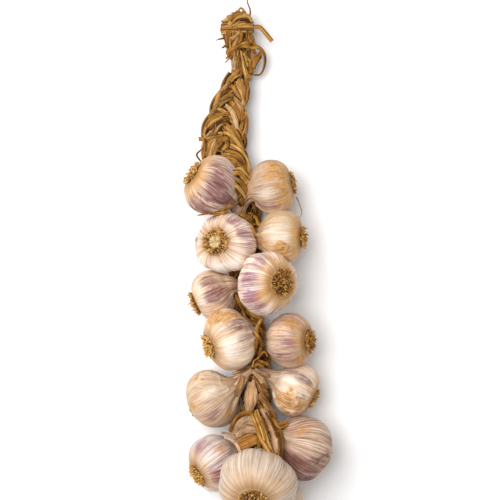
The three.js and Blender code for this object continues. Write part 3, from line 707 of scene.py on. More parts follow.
def tuft(skin, bulb):
    """Adds a bulb's roots, gathered in clumps. A root's line is its foot + length × lean × t + a
    helix that grows, and its clump decides how long it is and which way most of it leans."""
    count, inner, outer, length, light = TUFTS[bulb.name]
    draw = np.random.default_rng(bulb.seed + 1)
    clump_angle = (np.arange(CLUMPS) + draw.uniform(-CLUMP_STRAY, CLUMP_STRAY, CLUMPS)) / CLUMPS * 2 * np.pi
    clump_size = draw.uniform(*CLUMP_SIZE, CLUMPS)
    clump_shade = draw.uniform(-CLUMP_SHADE, CLUMP_SHADE, CLUMPS)
    mine = draw.integers(0, CLUMPS, count)
    share = np.sqrt(draw.uniform(inner ** 2, outer ** 2, count))
    angle = clump_angle[mine] + draw.normal(0, ROOT_STRAY, count)
    side, across = bulb.side[0], bulb.across[0]
    radial = np.cos(angle)[:, None] * side + np.sin(angle)[:, None] * across
    around = np.cross(bulb.root, radial)
    foot = bulb.on_axis(0.02) + radial * share[:, None] * bulb.radius
    lean = unit(bulb.root * draw.uniform(0.5, 1.2, (count, 1))
                + radial * (share[:, None] * 1.8 + draw.normal(0, 0.35, (count, 1)))
                + around * draw.normal(0, 0.4, (count, 1)))
    size = length * draw.uniform(*ROOT_SIZE, count) * clump_size[mine] * (1.3 - 0.5 * share / outer)
    t = np.linspace(0, 1, ROOT_STEPS)
    turn = draw.uniform(*ROOT_TURNS, count)[:, None] * t + draw.uniform(*ANY_ANGLE, count)[:, None]
    curl = draw.uniform(*ROOT_CURL, count)[:, None] * t
    lines = (foot[:, None] + size[:, None, None] * lean[:, None] * t[:, None]
             + (curl * np.cos(turn))[..., None] * radial[:, None]
             + (curl * np.sin(turn))[..., None] * (around + bulb.root)[:, None] * 0.7)
    lines[..., 2] = np.maximum(lines[..., 2], 0.9)
    shade = np.clip(draw.beta(2, 1.7, count) + clump_shade[mine] + light, 0, 1)
    for line, tone, thick in zip(lines, shade, draw.uniform(*ROOT_RADIUS, count)):
        look = np.stack([np.full_like(t, tone), t, t * 0], 1)[:, None]
        skin.add(tube_rings(line, thick * (1 - 0.35 * t), ROOT_SIDES), look=look)


roots = Skin()
for bulb in bulbs.values():
    tuft(roots, bulb)
roots.build("root_tufts", root_brown, "dry_roots")

# %% [markdown]
# ## Dried leaves
# The plait, the knot and all loose ends are dried leaves: flat, a few millimetres wide, with ridges
# along them, golden brown where the light falls and dark in the folds, where painted shade darkens
# them further. One material serves them all. Each leaf carries `grain`, the distance across and
# along it in millimetres and a number of its own, so the streaks always follow the leaf, and `tone`,
# which says how light it is, how far it has turned from gold at 0 to a dull pinkish tan at 1 and rust
# at 2 (or, below zero, to a greyish green), and how much painted shade it gets, as if it lay deep in
# a fold.

# %% Leaf material


def leaf_paint():
    """Dried leaf: streaks and blotches between brown, gold and straw, with painted shade in folds, gaps and
    on tucked edges.
    """
    paint = Paint("dried leaf")
    grain = paint.attribute("grain")
    light, dull, painted_shade = paint.split(paint.attribute("tone"))
    streak = paint.noise(grain, (1.1, 0.03, 1.0), 4)
    fibre = paint.noise(grain, (3.2, 0.07, 1.0), 3, 5.0)
    blotch = paint.noise(grain, (0.16, 0.08, 1.0), 4, 9.0)
    value = streak * 2.3 + fibre * 0.9 + blotch * 1.1 - 2.15 + light
    golden = paint.layers("472602", [(value.step(-0.05, 0.5), "ad7322"),
                                     (value.step(0.45, 1.05), "e2b265")])
    drab = paint.mix(value.step(0.0, 1.0), "7f5a3a", "d9b08c")
    rusty = paint.mix(value.step(-0.1, 0.9), "7d4a10", "dc9a48")
    greenish = paint.mix(value.step(0.0, 1.0), "5c4b22", "b09a62")
    colour = paint.layers(golden, [
        (dull.step(0.0, 1.2), drab),
        (dull.step(1.3, 2.0), rusty),
        (1 - dull.step(-1.2, 0.0), greenish),
        (blotch.step(0.56, 0.7) * 0.35, "6b4316"),
        # thin dark lines along the fibres: the leaf's own streaks, and also painted shade for the crevices
        # between them
        (fibre.step(0.51, 0.61) * 0.7, "402204"),
        # painted shade: near-black where the tone says a leaf's edge is tucked or folded, and on the dark
        # cores
        (painted_shade.step(0.0, 1.0), "241503")])
    return paint.finish(colour, 0.5 + 0.25 * blotch, streak * 0.6 + fibre * 0.4, 0.0009, 0.25)


dried_leaf = leaf_paint()
print(len(dried_leaf.node_tree.nodes), "nodes make the leaves' colour")

# %% [markdown]
# A leaf is a thin closed strip: a row of points across its upper face and, a little below, the
# same row back across its lower face, carried along a line. Its middle is crowned, its edges wave,
# and a few ridges run its whole length. Near a torn end the points slide along the leaf by a
# ragged amount, so that no end is cut straight.

# %% Leaf surface


def leaf_faces(n, across, seed, crown, wave, thick, ridge=0.16):
    """Heights of a leaf's upper face and its thickness, on a grid of n by across points: crown ×
    (1 - u²), ridges as a sum of waves across, and a slow wave of the edges along it."""
    draw = np.random.default_rng(seed)
    u = np.linspace(-1, 1, across)[None, :]
    t = np.linspace(0, 1, n)[:, None]
    phase = draw.uniform(*ANY_ANGLE, 6)
    ridges = np.cos(7 * u + phase[0] + 2 * t) + 0.8 * np.cos(12 * u + phase[1] - 3 * t)
    height = crown * (1 - u ** 2) + ridge * ridges * (1 - u ** 4)
    height = height + wave * u * np.sin(9 * t + phase[2]) + wave * 0.6 * np.sin(14 * t + phase[3])
    return u, t, height, thick * (1 - 0.6 * np.abs(u) ** 3), draw


def leaf_looks(u, t, wide, length, seed, light, dull, painted_shade):
    """Grain: distance across, distance along, the leaf's own number. Tone, as it is given."""
    grain = np.stack(np.broadcast_arrays(u * wide / 2, t * length, seed % 53 * 3.7), -1)
    tone = np.stack(np.broadcast_arrays(light + 0 * u * t, dull, painted_shade + 0 * u * t), -1)
    both = lambda face: np.concatenate([face, face[:, ::-1]], 1)
    return {"grain": both(grain), "tone": both(tone)}


def sheet(middle, up, rise, thick):
    """Rings of a thin sheet: middle + up × (rise + thick/2) across its upper face, and back
    across its lower face at middle + up × (rise - thick/2)."""
    top = middle + up * (rise + thick / 2)[..., None]
    under = middle + up * (rise - thick / 2)[..., None]
    return np.concatenate([top, under[:, ::-1]], 1)


def leaf(skin, line, wide, seed, side=None, up=None, crown=0.4, wave=0.4, thick=0.5, across=11,
         light=0.35, dull=0.0, ragged=1.2):
    """Adds a leaf along a line. wide has a width for each point of the line. Without a side and
    up of its own, the leaf faces upwards. Its edges are a little darker: painted shade, as in a fold."""
    n = len(line)
    travel = directions(line)
    if side is None:
        side = unit(np.cross(travel, UP))
        up = np.cross(side, travel)
    u, t, height, body, draw = leaf_faces(n, across, seed, crown, wave, thick)
    wide = np.broadcast_to(wide, n)[:, None]
    tear = np.convolve(draw.normal(0, 1, across + 2), [0.3, 0.4, 0.3], "valid")
    slide = ragged * tear * (ramp(t, 0.85, 1) - ramp(1 - t, 0.85, 1))
    face = (line[:, None] + side[:, None] * (u * wide / 2)[..., None]
            + travel[:, None] * slide[..., None])
    rings = sheet(face, up[:, None], height, body)
    # painted shade along both edges
    edge = 0.6 * np.clip(np.abs(u) - 0.75, 0, 1) / 0.25
    skin.add(rings, **leaf_looks(u, t, wide, length_of(line), seed, light, dull, edge))
    return rings


def widths(three, t):
    """A leaf's width at each t from 0 to 1, from its widths at the start, middle and end."""
    return eased([[0, three[0]], [0.5, three[1]], [1, three[2]]], t)


test = Skin()
rings = leaf(test, np.array([[0, 0, 0], [5, 0, 0], [10, 0, 0.0]]), 4, 1)
print("a leaf 10 mm long has", test.total, "points and is", np.round(np.ptp(rings[..., 2]), 2), "mm high")

# %% [markdown]
# ## The plait
# Three strands swing from side to side once in a pitch, and rise and fall twice, so that each lies
# over one neighbour and then under the other. A strand isn't one band: it is a bundle of many
# leaves that overlap like husks. So a core fills each strand, painted near-black as the shade that
# shows in the gaps, and leaves of various widths are laid round it, each with one edge tucked under
# the next. Some ends spring up from the bundle.

# %% The strands' lines
PLAIT_LINE = [[-9.5, 156.5, 11], [-16.5, 139, 11.5], [-21, 122, 12], [-24, 108, 12.5],
              [-24.5, 94.5, 12.5], [-20, 79, 12], [-13, 64, 10.5], [-8, 50, 9.5], [-3, 32, 9],
              [0, 12, 9], [-4, -12, 9], [-7, -38, 9], [-2, -64, 9.5], [5, -89, 12], [6, -113, 16],
              [5, -136, 17], [8, -158, 16], [11, -181, 13], [12, -204, 10]]
PLAIT_FULLNESS = [[0, .62], [.05, .76], [.1, .97], [.16, 1.15], [.2, 1.05], [.26, .72],
                  [.6, .65], [.75, .74], [.9, .66], [1, .45]]
PITCH, SWING, LIFT, STEEP = 66, 12.8, 7.0, 1.8
STRAND_WIDTH, STRAND_THICK, STRAND_ROLL = 15.5, 6.2, 0.25
STRAND_STEPS = 280


def strand_form(k):
    """Middle line of strand k, the directions to its side and up, and its half width and height:
    line + side × swing × sin(angle) + up × lift × tanh(steep × sin(twice the angle))."""
    line = smooth_line(PLAIT_LINE, STRAND_STEPS)
    t = np.linspace(0, 1, STRAND_STEPS)
    angle = 2 * np.pi * (t * length_of(line) / PITCH + k / 3)
    full = eased(PLAIT_FULLNESS, t)
    travel = directions(line)
    side = -unit(np.cross(travel, UP))
    up = np.cross(travel, side)
    up = up * np.sign(up[:, 2:])
    lift = np.tanh(STEEP * np.sin(2 * angle)) / np.tanh(STEEP)
    middle = line + side * (SWING * full * np.sin(angle))[:, None] + up * (LIFT * full * lift)[:, None]
    travel = directions(middle)
    side = unit(np.cross(travel, UP))
    half_wide = STRAND_WIDTH / 2 * full * (1 - STRAND_ROLL * np.sin(angle) ** 2)
    return middle, side, np.cross(side, travel), half_wide, STRAND_THICK / 2 * full ** 0.5


print("the plait is", np.round(length_of(smooth_line(PLAIT_LINE, STRAND_STEPS))), "mm long")

# %% [markdown]
# A husk is a leaf laid on a bundle's oval. Its width is an angle there, so it bends round the
# bundle. One of its edges is a little lower than the other, as if tucked under the next leaf. That
# edge gets painted shade, and both rims a little of it.

# %% Husks round a bundle
HUSK_THICK, HUSK_ACROSS, HUSK_TILT = 0.4, 7, 0.4      # mm, points across, mm
# the core is painted near-black, as shade between the husks
CORE_SHARE = 0.86                            # the dark core, as a share of its bundle
SCATTER = 0.4                                # how far a husk strays, as a share of the gap


def oval(form, turn, share=1.0):
    """Points round a bundle, for its half width a and half height b: middle + side × share × a ×
    cos(turn) + up × share × b × sin(turn)."""
    middle, side, up, a, b = form
    return (middle[:, None] + side[:, None] * (share * a[:, None] * np.cos(turn))[..., None]
            + up[:, None] * (share * b[:, None] * np.sin(turn))[..., None])


def husk(skin, form, angle, twist, wide, seed, lift, tilt, light, dull, crown, spring):
    """Lays a leaf on a bundle's oval. Across the leaf, the angle round the oval runs from -wide/2
    to wide/2 about its own, which turns slowly by twist. Its far end springs up by spring."""
    middle, side, up, a, b = form
    u, t, height, body, _ = leaf_faces(len(middle), HUSK_ACROSS, seed, crown, 0.15, HUSK_THICK, 0.1)
    taper = np.sqrt(np.clip(np.minimum(t / 0.12, (1 - t) / 0.12), 0.04, 1))
    turn = angle + twist * t + u * wide / 2 * taper
    normal = unit(side[:, None] * (np.cos(turn) / a[:, None])[..., None]
                  + up[:, None] * (np.sin(turn) / b[:, None])[..., None])
    rise = height + lift + tilt * u - 0.7 * (1 - taper) + spring * ramp(t, 0.75, 1.0)
    rings = sheet(oval(form, turn), normal, rise, body)
    rings[..., 2] = np.maximum(rings[..., 2], 0.4)
    # painted shade on the tucked edge, and a little on both rims
    edge = 0.9 * np.clip(-u * np.sign(tilt) - 0.4, 0, 1) / 0.6 + 0.6 * np.clip(np.abs(u) - 0.7, 0, 1)
    skin.add(rings, **leaf_looks(u, t, wide * a[:, None], length_of(middle), seed, light, dull, edge))


def drawn_husk(skin, form, first, last, turn, draw, base, twist, wide, lift, light, dull, crown, spring):
    """Lays a husk from step first to step last. Its twist, width, lift above the base, lightness
    and crown are drawn from ranges, its dullness and spring from lists, and its tilt by chance."""
    husk(skin, [part[first:last] for part in form], turn, draw.uniform(-twist, twist),
         draw.uniform(*wide), int(draw.integers(1e6)), base + draw.uniform(*lift),
         HUSK_TILT * draw.choice([-1, 1]), draw.uniform(*light), draw.choice(dull),
         draw.uniform(*crown), draw.choice(spring))


def core(skin, form, sides):
    """The inside of a bundle, painted near-black as shade for the gaps between its leaves: its oval at a
    share of its size.
    """
    turn = angles(sides)
    t = np.linspace(0, 300, len(form[0]))[:, None]
    grain = np.stack(np.broadcast_arrays(turn * 5, t, 1.0), -1)
    # its tone: a little light, gold, and full painted shade
    skin.add(oval(form, turn, CORE_SHARE), grain=grain, tone=np.array([0.1, 0.0, 1.0]))


# %% [markdown]
# Thirteen rows of husks run along each strand. In a row, one husk starts a little before the last
# one ends. Everything about a husk is drawn at random, within ranges that suit the real thing.

# %% Lay the husks on the strands
HUSKS_ROUND = 13
HUSK_LENGTH, FIRST_START = (40, 110), 50     # drawn, in steps; the first starts before the strand
SHORTEST, OVERLAP = 20, 10                   # of a husk, and of one and the next, in steps
for k, name in enumerate(("plait_strand_a", "plait_strand_b", "plait_strand_c")):
    draw = np.random.default_rng(40 + k)
    form = strand_form(k)
    skin = Skin()
    core(skin, form, 20)
    for place in range(HUSKS_ROUND):
        start = -int(draw.integers(0, FIRST_START))
        while start < STRAND_STEPS - SHORTEST:
            length = int(draw.integers(*HUSK_LENGTH))
            first, last = max(start, 0), min(start + length, STRAND_STEPS)
            if last - first > SHORTEST:
                turn = (place + draw.uniform(-SCATTER, SCATTER)) * 2 * np.pi / HUSKS_ROUND
                drawn_husk(skin, form, first, last, turn, draw, base=0.0, twist=0.8,
                           wide=(0.38, 0.9), lift=(0.0, 1.0), light=(0.05, 0.8),
                           dull=[0, 0, 0, 0.35, 0.6, -0.4], crown=(0.1, 0.7),
                           spring=[0, 0, 0.8, 1.8])
            start = last - OVERLAP if last < STRAND_STEPS else STRAND_STEPS
    skin.build(name.replace("strand", "leaves"), dried_leaf, SLOTS[name], name)

# %% [markdown]
# ## The bundle and the knot
# Above the bulbs the plait runs into a bundle of folded leaves. More leaves are wound round it: a
# wide one straight across, narrow ones above and below, an arched one over the top and one that
# runs down across the front. The bundle is dressed like a strand. Its ties are leaves whose line
# runs round the bundle's oval at a small distance.

# %% The bundle's form
# height along the braid, middle x and z, half width, half height
BUNDLE = np.array([[149, -9.5, 11, 5, 4], [156, -8.5, 11, 8.6, 7], [167, -7.5, 11, 8, 7],
                   [177, -8.5, 11, 7.6, 6.8], [186, -10.5, 12, 10, 8], [195, -11.5, 13.2, 11.8, 9.2],
                   [204, -11.5, 13.2, 12.2, 9.6], [211, -10.5, 13.2, 9.6, 8],
                   [215.5, -9, 13.2, 5, 4.5]])
BUNDLE_ENDS, BUNDLE_STEPS = (149.5, 215.2), 110


def bundle_at(y):
    """Middle x and z and half width and height of the bundle at height y along the braid."""
    return [eased(BUNDLE[:, [0, column]], y) for column in (1, 2, 3, 4)]


def bundle_form():
    """The bundle's line from its lower end to the top of the knot, like a strand's."""
    y = np.linspace(*BUNDLE_ENDS, BUNDLE_STEPS)
    x, z, a, b = bundle_at(y)
    side, up = np.tile([1.0, 0, 0], (BUNDLE_STEPS, 1)), np.tile(UP, (BUNDLE_STEPS, 1))
    return np.stack([x, y, z], 1), side, up, a, b


print("the knot's half width and height:", np.round(bundle_at(204)[2:], 1), "mm")

# %% Leaves of the bundle
# leaves round it, how far out, first and last step, how far these stray, how far a leaf twists
BUNDLE_LAYERS = [(15, 0.0, 0, 110, 14, 0.5), (9, 0.8, 8, 60, 14, 0.9),
                 (14, 0.7, 48, 104, 14, 1.6), (16, 0.3, 84, 110, 3, 0.6)]
bundle = Skin()
form = bundle_form()
core(bundle, form, 28)
draw = np.random.default_rng(77)
for count, base, low, high, loose, twist in BUNDLE_LAYERS:
    for place in range(count):
        first = low + int(draw.integers(0, loose))
        last = high - int(draw.integers(0, loose))
        turn = (place + draw.uniform(-SCATTER, SCATTER)) * 2 * np.pi / count
        drawn_husk(bundle, form, first, last, turn, draw, base, twist, wide=(0.28, 0.6),
                   lift=(-0.2, 0.6), light=(0.1, 0.75), dull=[0, 0, 0, 0.35], crown=(0.2, 0.8),
                   spring=[0, 0, 1.0])
print(bundle.total, "points so far")

# %% [markdown]
# Some leaves were cut off where they leave the bundle. Five stick out on the left, and many short
# ones fill the top of the knot, where one looks into their ends.

# %% Cut ends
CUT_ENDS = [  # start, end, width there and here, light, dull
    ([-15, 209, 15], [-17.5, 214.5, 18], 4.5, 4.4, 1.1, 1),
    ([-18, 208.6, 14], [-27, 207.6, 15], 2.6, 1.6, .5, 0),
    ([-20, 193.4, 13], [-29.5, 191.5, 13], 3, 1.2, .5, 0),
    ([-17, 190, 15], [-25.5, 183, 16], 3.2, 1.6, .4, 0),
    ([-14, 184, 14], [-21.5, 174, 15], 3, 1.4, .5, 0)]
CUT_STEPS, BOW = 18, [0, 0, 0.8]             # points along a cut end, and how it is bowed, mm
TOP_ENDS, TOP_STEPS = 34, 12
TOP_HEIGHTS = (209, 213, 216.4)              # an end's foot, its neck and the highest tip
TOP_MIDDLE, TOP_SIZE = (-9, 13.2), (5.6, 4.8)      # x and z of the knot's top, and its half sizes
for number, (start, end, thick, thin, light, dull) in enumerate(CUT_ENDS):
    line = smooth_line([start, (np.array(start) + end) / 2 + BOW, end], CUT_STEPS)
    leaf(bundle, line, np.linspace(thick, thin, CUT_STEPS), 300 + number, crown=0.6, wave=0.3,
         across=7, thick=0.9, light=light, dull=dull)
for number in range(TOP_ENDS):
    turn, share = draw.uniform(*ANY_ANGLE), draw.uniform(0.0, 0.95) ** 0.6
    x = TOP_MIDDLE[0] + TOP_SIZE[0] * share * np.cos(turn)
    z = TOP_MIDDLE[1] + TOP_SIZE[1] * share * np.sin(turn)
    foot, neck, highest = TOP_HEIGHTS
    tip = [x * 1.05 + draw.normal(0, 0.8), highest - 1.5 * share + draw.uniform(-1.2, 1.6),
           z + draw.normal(0, 0.8)]
    line = smooth_line([[x, foot, z], [x, neck, z], tip], TOP_STEPS)
    leaf(bundle, line, np.linspace(2.6, draw.uniform(1.6, 3.2), TOP_STEPS), 340 + number,
         crown=0.5, wave=0.3, across=7, thick=0.8, light=draw.uniform(0.0, 0.9),
         dull=draw.choice([0, 0, 0.5]))
bundle.build("knot_leaves", dried_leaf, SLOTS["knot_bundle"], "knot_bundle")

# %% [markdown]
# A tie is a leaf whose line runs round the bundle, a little outside its oval. Angles are in
# degrees, 0 on the right and 90 on top. A tie that starts lower than it ends makes a slanting turn.

# %% Leaves wound round the knot
BUNDLE_RELIEF = 0.08                         # the bundle's own folds stand out by this share
TIE_REACH = (149, 215)                       # heights between which the ties stay
DEGREES_A_STEP = 4
# seed, angle from and to, height from and to, width, distance off the bundle, how far it bows
# out, how far it tips, crown, wave, light, dull
TIES = {
    "tie_wide": [(401, -30, 350, 201.0, 200.2, 5.4, 1.5, 0, 1.0, .4, .15, .55, 0),
                 (402, 20, 395, 197.0, 197.6, 2.2, 1.2, 0, .8, .5, .2, .8, 0),
                 (403, 60, 430, 203.6, 202.6, 2.4, 1.9, 0, 1.5, .5, .15, .7, 0),
                 (410, 10, 200, 198.6, 200.5, 1.6, 2.3, 0, .5, .4, .15, .35, 0)],
    "tie_narrow": [(404, 10, 390, 205.8, 205.2, 2.2, 1.6, 0, 1.2, .4, .15, .5, 0),
                   (405, -40, 330, 207.4, 206.8, 1.4, 1.1, 0, 1.0, .3, .15, .3, 0)],
    "tie_arch": [(406, 170, 30, 207.8, 212, 3.6, 1.7, 2.0, 0, .7, .2, .8, .3),
                 (407, 160, 50, 211.5, 209.5, 3.0, .9, 1.4, 0, .3, .2, .45, 0)],
    "tie_diagonal": [(408, -12, 188, 191.5, 178, 5.4, 1.5, 1.0, 0, .8, .3, .5, 0),
                     (409, -5, 150, 194.5, 184, 2.4, .9, .6, 0, .5, .3, .25, 0)],
}


def wound(skin, seed, start, stop, low, high, wide, clear, rise, sway, crown, wave, light, dull):
    """A leaf at middle + (half size + clear + rise × sin(πt)) × (cos, sin) of an angle that goes
    from start to stop, while its height goes from low to high, plus sway × cos of the angle."""
    t = np.linspace(0, 1, max(24, int(abs(stop - start) / DEGREES_A_STEP)))
    turn = np.radians(start + (stop - start) * t)
    y = low + (high - low) * t + sway * np.cos(turn)
    x, z, a, b = bundle_at(np.clip(y, *TIE_REACH))
    off = clear + rise * np.sin(np.pi * t)
    line = np.stack([x + (a * (1 + BUNDLE_RELIEF) + off) * np.cos(turn), y,
                     z + (b * (1 + BUNDLE_RELIEF) + off) * np.sin(turn)], 1)
    line[:, 2] = np.maximum(line[:, 2], 0.5)
    travel = directions(line)
    side = unit(np.cross(travel, np.stack([np.cos(turn), 0 * t, np.sin(turn)], 1)))
    leaf(skin, line, wide, seed, side, np.cross(side, travel), crown, wave, light=light, dull=dull)


for name, rows in TIES.items():
    skin = Skin()
    for row in rows:
        wound(skin, *row)
    skin.build(name.replace("tie", "wound"), dried_leaf, SLOTS[name], name)

# %% [markdown]
# ## Loose leaves and threads
# Where the lower bulbs join the plait, their leaves lie gathered over it: folded papery ones, brown
# ones, one cut short, and three ribs that run side by side. Each is a leaf along the line of its
# own solid. Threads and stalks are thin tubes.

# %% Loose leaves
LEAVES = {  # points, widths at the start, middle and end, crown, light, dull
    "knot_loop": ([[-12.8, 211, 23], [-8.2, 219, 21], [-2, 212, 20.5]], (1.6, 2, 1.6), .2, .5, 0),
    "leaf_loop_outer": ([[1.5, 184.3, 16], [6, 184.5, 18], [12.5, 179, 15], [13.5, 170, 11],
                         [9.5, 160.5, 8], [4, 159.5, 9]], (4, 2.6, 1.6), .5, .5, 0),
    "leaf_loop_inner": ([[11, 177, 17], [6.5, 171, 17.5], [2.4, 164, 14]], (2.4, 3, 2), .4, .55, 0),
    "leaf_fold": ([[4, -105, 31], [-5, -107.5, 33.5], [-13.5, -112.5, 36]], (6, 8, 4), 1, .75, .8),
    "leaf_brown": ([[6, -115, 32.5], [10, -123, 33.5], [12, -132, 31]], (3, 5, 4), .8, .1, 1.8),
    "leaf_tan": ([[1, -119, 32], [0, -131, 32], [-.5, -144, 29]], (7, 11, 8), 1.6, .75, .75),
    "leaf_grey": ([[6.5, -129, 27], [11, -141, 28], [17, -152, 27]], (8, 11, 8), 1.2, .2, .7),
    "leaf_arch": ([[1, -148.5, 31], [-6, -148.5, 33], [-14, -155, 31], [-18, -164, 25]],
                  (3, 4, 3.5), .8, .3, 0),
    "leaf_pale": ([[2.5, -155.5, 27.5], [-5, -157, 28], [-14, -166, 25]], (6, 10, 6), 1.2, .9, .9),
    "leaf_cut": ([[9, -166.5, 28.5], [0, -170.5, 29.5], [-9, -175, 28]], (13, 13.5, 12), .8, .55, 2),
    "rib_left": ([[4.6, -149, 32], [8, -163, 35], [8.5, -180, 35]], (4, 5, 4.5), 1.2, .5, 0),
    "rib_middle": ([[11, -149, 32.5], [14, -164, 39.5], [14.5, -181, 41]], (5, 6, 5), 1.4, .6, .4),
    "rib_right": ([[18, -152.5, 38], [20.5, -165, 47.5], [20.5, -179, 48]], (4, 5.5, 5), 1.2, .3, 0),
}
LEAF_STEPS, LEAF_ACROSS, LEAF_THICK = 44, 13, 0.7
for number, (name, (points, wide, crown, light, dull)) in enumerate(LEAVES.items()):
    skin = Skin()
    line = smooth_line(points, LEAF_STEPS)
    leaf(skin, line, widths(wide, np.linspace(0, 1, LEAF_STEPS)), 500 + number, crown=crown,
         wave=0.5 * min(1, wide[1] / 6), across=LEAF_ACROSS, thick=LEAF_THICK, light=light, dull=dull)
    skin.build(f"dry_{name}", dried_leaf, SLOTS[name], name)

# %% [markdown]
# A thread or a stalk is a thin tube whose radius changes evenly from one end to the other. It is a
# little three-sided, because a dried stalk is never round.

# %% Threads and stalks
STALKS = {  # points, radius at the start and at the end
    "hanging_thread": ([[-.2, 212, 19], [.2, 217, 18], [-2.5, 226, 17], [-1, 236, 17]], .8, .5),
    "plait_thread": ([[-6.5, 130, 14], [-3, 119, 13], [-2.5, 108, 12], [-7, 97, 13]], .7, .5),
    "pale_thread": ([[1.5, -99.5, 27], [3.5, -93.5, 29], [8, -91, 28]], .8, .6),
    "side_stalk": ([[19, -157, 41], [27, -155.5, 42.5], [34, -154.5, 41.5]], 1.8, 2.2),
}
STALK_STEPS, STALK_SIDES, STALK_DENT = 40, 10, 0.12


def stalk_looks(n, sides, radius, length, seed, light, dull=0.0):
    """Grain: angle × radius round a tube, and the distance along it. One tone for all of it."""
    grain = np.stack(np.broadcast_arrays(angles(sides)[None] * radius,
                                         np.linspace(0, length, n)[:, None], seed * 3.7), -1)
    return {"grain": grain, "tone": np.array([light, dull, 0.0])}


for number, (name, (points, thick, thin)) in enumerate(STALKS.items()):
    skin = Skin()
    line = smooth_line(points, STALK_STEPS)
    turn, t = np.meshgrid(angles(STALK_SIDES), np.linspace(0, 1, STALK_STEPS))
    radius = (thick + (thin - thick) * t) * (1 + STALK_DENT * np.cos(3 * turn + 5 * t))
    rings = line[:, None] + (tube_rings(line, 1.0, STALK_SIDES) - line[:, None]) * radius[..., None]
    skin.add(rings, **stalk_looks(STALK_STEPS, STALK_SIDES, thick, 30, number, 0.5, 0.2))
    skin.build(f"dry_{name}", dried_leaf, SLOTS[name], name)

# %% [markdown]
# One stem is cut off and hollow. Its rings run along the outside to the cut end, turn inwards and
# run back along the bore, down to a floor that closes it.

# %% Hollow stem
STEM = [[4.5, 202.5, 15.5], [8.5, 202.3, 16], [13.5, 197.5, 16], [20, 189.5, 15]]
STEM_RADIUS, STEM_BORE = 2.0, 1.2
STEM_STEPS, STEM_SIDES, STEM_FLOOR = 60, 20, 20      # the bore's floor is at this step
skin = Skin()
line = smooth_line(STEM, STEM_STEPS)
turn, t = np.meshgrid(angles(STEM_SIDES), np.linspace(0, 1, STEM_STEPS))
around = tube_rings(line, 1.0, STEM_SIDES) - line[:, None]
outer = line[:, None] + around * (STEM_RADIUS + STALK_DENT * np.cos(5 * turn + t))[..., None]
inner = line[:, None] + around * STEM_BORE
bottom = line[STEM_FLOOR] + 0.02 * around[STEM_FLOOR:STEM_FLOOR + 1]
rings = np.concatenate([outer, inner[:STEM_FLOOR:-1], bottom])
skin.add(rings, **stalk_looks(len(rings), STEM_SIDES, STEM_RADIUS, 40, 9, 0.55))
skin.build("cut_stem", dried_leaf, SLOTS["hollow_stem"], "hollow_stem")

# %% [markdown]
# ## Leaves laid over the plait
# The plait shows many more leaves than it has strands: ends that were folded in, torn strips, pale
# inner leaves. They are draped. A map keeps the height of the highest point so far over each
# square millimetre; a leaf takes its heights from the map along its own line, smoothed so that it
# bridges small gaps, tips sideways with the slope, and is then added to the map itself, so the
# next leaf lies on top of it. Its ends dip, as if they were tucked in.

# %% Draping
EDGE = 300                                   # half the size of the map, mm
LOWEST = 0.4                                 # of the map: a leaf's thickness above the surface
STIFF = 0.7                                  # past an edge a leaf falls this much for each mm
DRAPE_STEPS, DRAPE_ACROSS, DRAPE_THICK = 30, 9, 0.4
DRAPE_GAP = 0.35                             # between a leaf's middle and what it lies on, mm
STEEPEST = 0.9                               # how far a leaf tips sideways, as a slope


class Relief:
    """The height of the braid's upper side over each square millimetre."""

    def __init__(self):
        self.top = np.full((2 * EDGE, 2 * EDGE), LOWEST)

    def add(self, points):
        """Raises each cell of the map to the highest of the points over it."""
        cell = np.floor(points[:, :2]).astype(int) + EDGE
        np.maximum.at(self.top, (cell[:, 0], cell[:, 1]), points[:, 2])

    def over(self, xy):
        """The highest of the nine cells round each place."""
        i, j = (np.floor(xy).astype(int) + EDGE).T
        return np.max([self.top[i + a, j + b] for a in (-1, 0, 1) for b in (-1, 0, 1)], axis=0)


def level(values, reach):
    """Each value's mean with its neighbours on both sides."""
    padded = np.pad(values, reach, mode="edge")
    return np.convolve(padded, np.ones(2 * reach + 1) / (2 * reach + 1), "valid")


# the map starts with the solids and the leaves so far, without the bulbs' skins and roots
relief = Relief()
for piece in [o for o in bpy.context.scene.collection.objects if o.type == "MESH"]:
    if not piece.name.startswith(("skin_", "root_")):
        points = np.empty(len(piece.data.vertices) * 3)
        piece.data.vertices.foreach_get("co", points)
        relief.add(points.reshape(-1, 3) / MM - SHIFT)
print("the map has", np.count_nonzero(relief.top > LOWEST), "raised cells")


def drape(skin, points, wide, seed, light, dull, tuck):
    """Lays a leaf along points seen from above. Its height is the highest of what lies under its
    middle and its sides, levelled out, and it falls by STIFF at most. It tips sideways by the
    slope from side to side. tuck is how far its two ends dip."""
    line = smooth_line([(x, y, 0) for x, y in points], DRAPE_STEPS)
    t = np.linspace(0, 1, DRAPE_STEPS)
    wide_at = widths(wide, t)
    aside = unit(np.cross(directions(line), UP))
    left, right = (relief.over((line + aside * (sign * wide_at * 0.4)[:, None])[:, :2])
                   for sign in (-1, 1))
    slope = level(np.clip((right - left) / (0.8 * wide_at + 1), -STEEPEST, STEEPEST), 4)
    line[:, 2] = level(np.maximum(relief.over(line[:, :2]), (left + right) / 2), 3) + DRAPE_GAP
    along = t * length_of(line[:, :2])
    line[:, 2] = np.max(line[:, 2] - STIFF * np.abs(along[:, None] - along), axis=1)
    line[:, 2] -= tuck[0] * (1 - ramp(t, 0, 0.16)) + tuck[1] * ramp(t, 0.84, 1)
    line[:, 2] = np.maximum(line[:, 2], 2 * LOWEST)
    travel = directions(line)
    side = unit(aside + slope[:, None] * UP)
    side = unit(side - np.sum(side * travel, 1)[:, None] * travel)
    rings = leaf(skin, line, wide_at, seed, side, np.cross(side, travel), 0.12 * wide[1],
                 min(0.35, 0.08 * wide[1]), DRAPE_THICK, DRAPE_ACROSS, light, dull, 0.25 * wide[1])
    relief.add(rings.reshape(-1, 3))


# %% [markdown]
# The two tables hold the leaves that lie on top, each as a few points seen from above. Their order
# matters, because each leaf is laid over those before it.

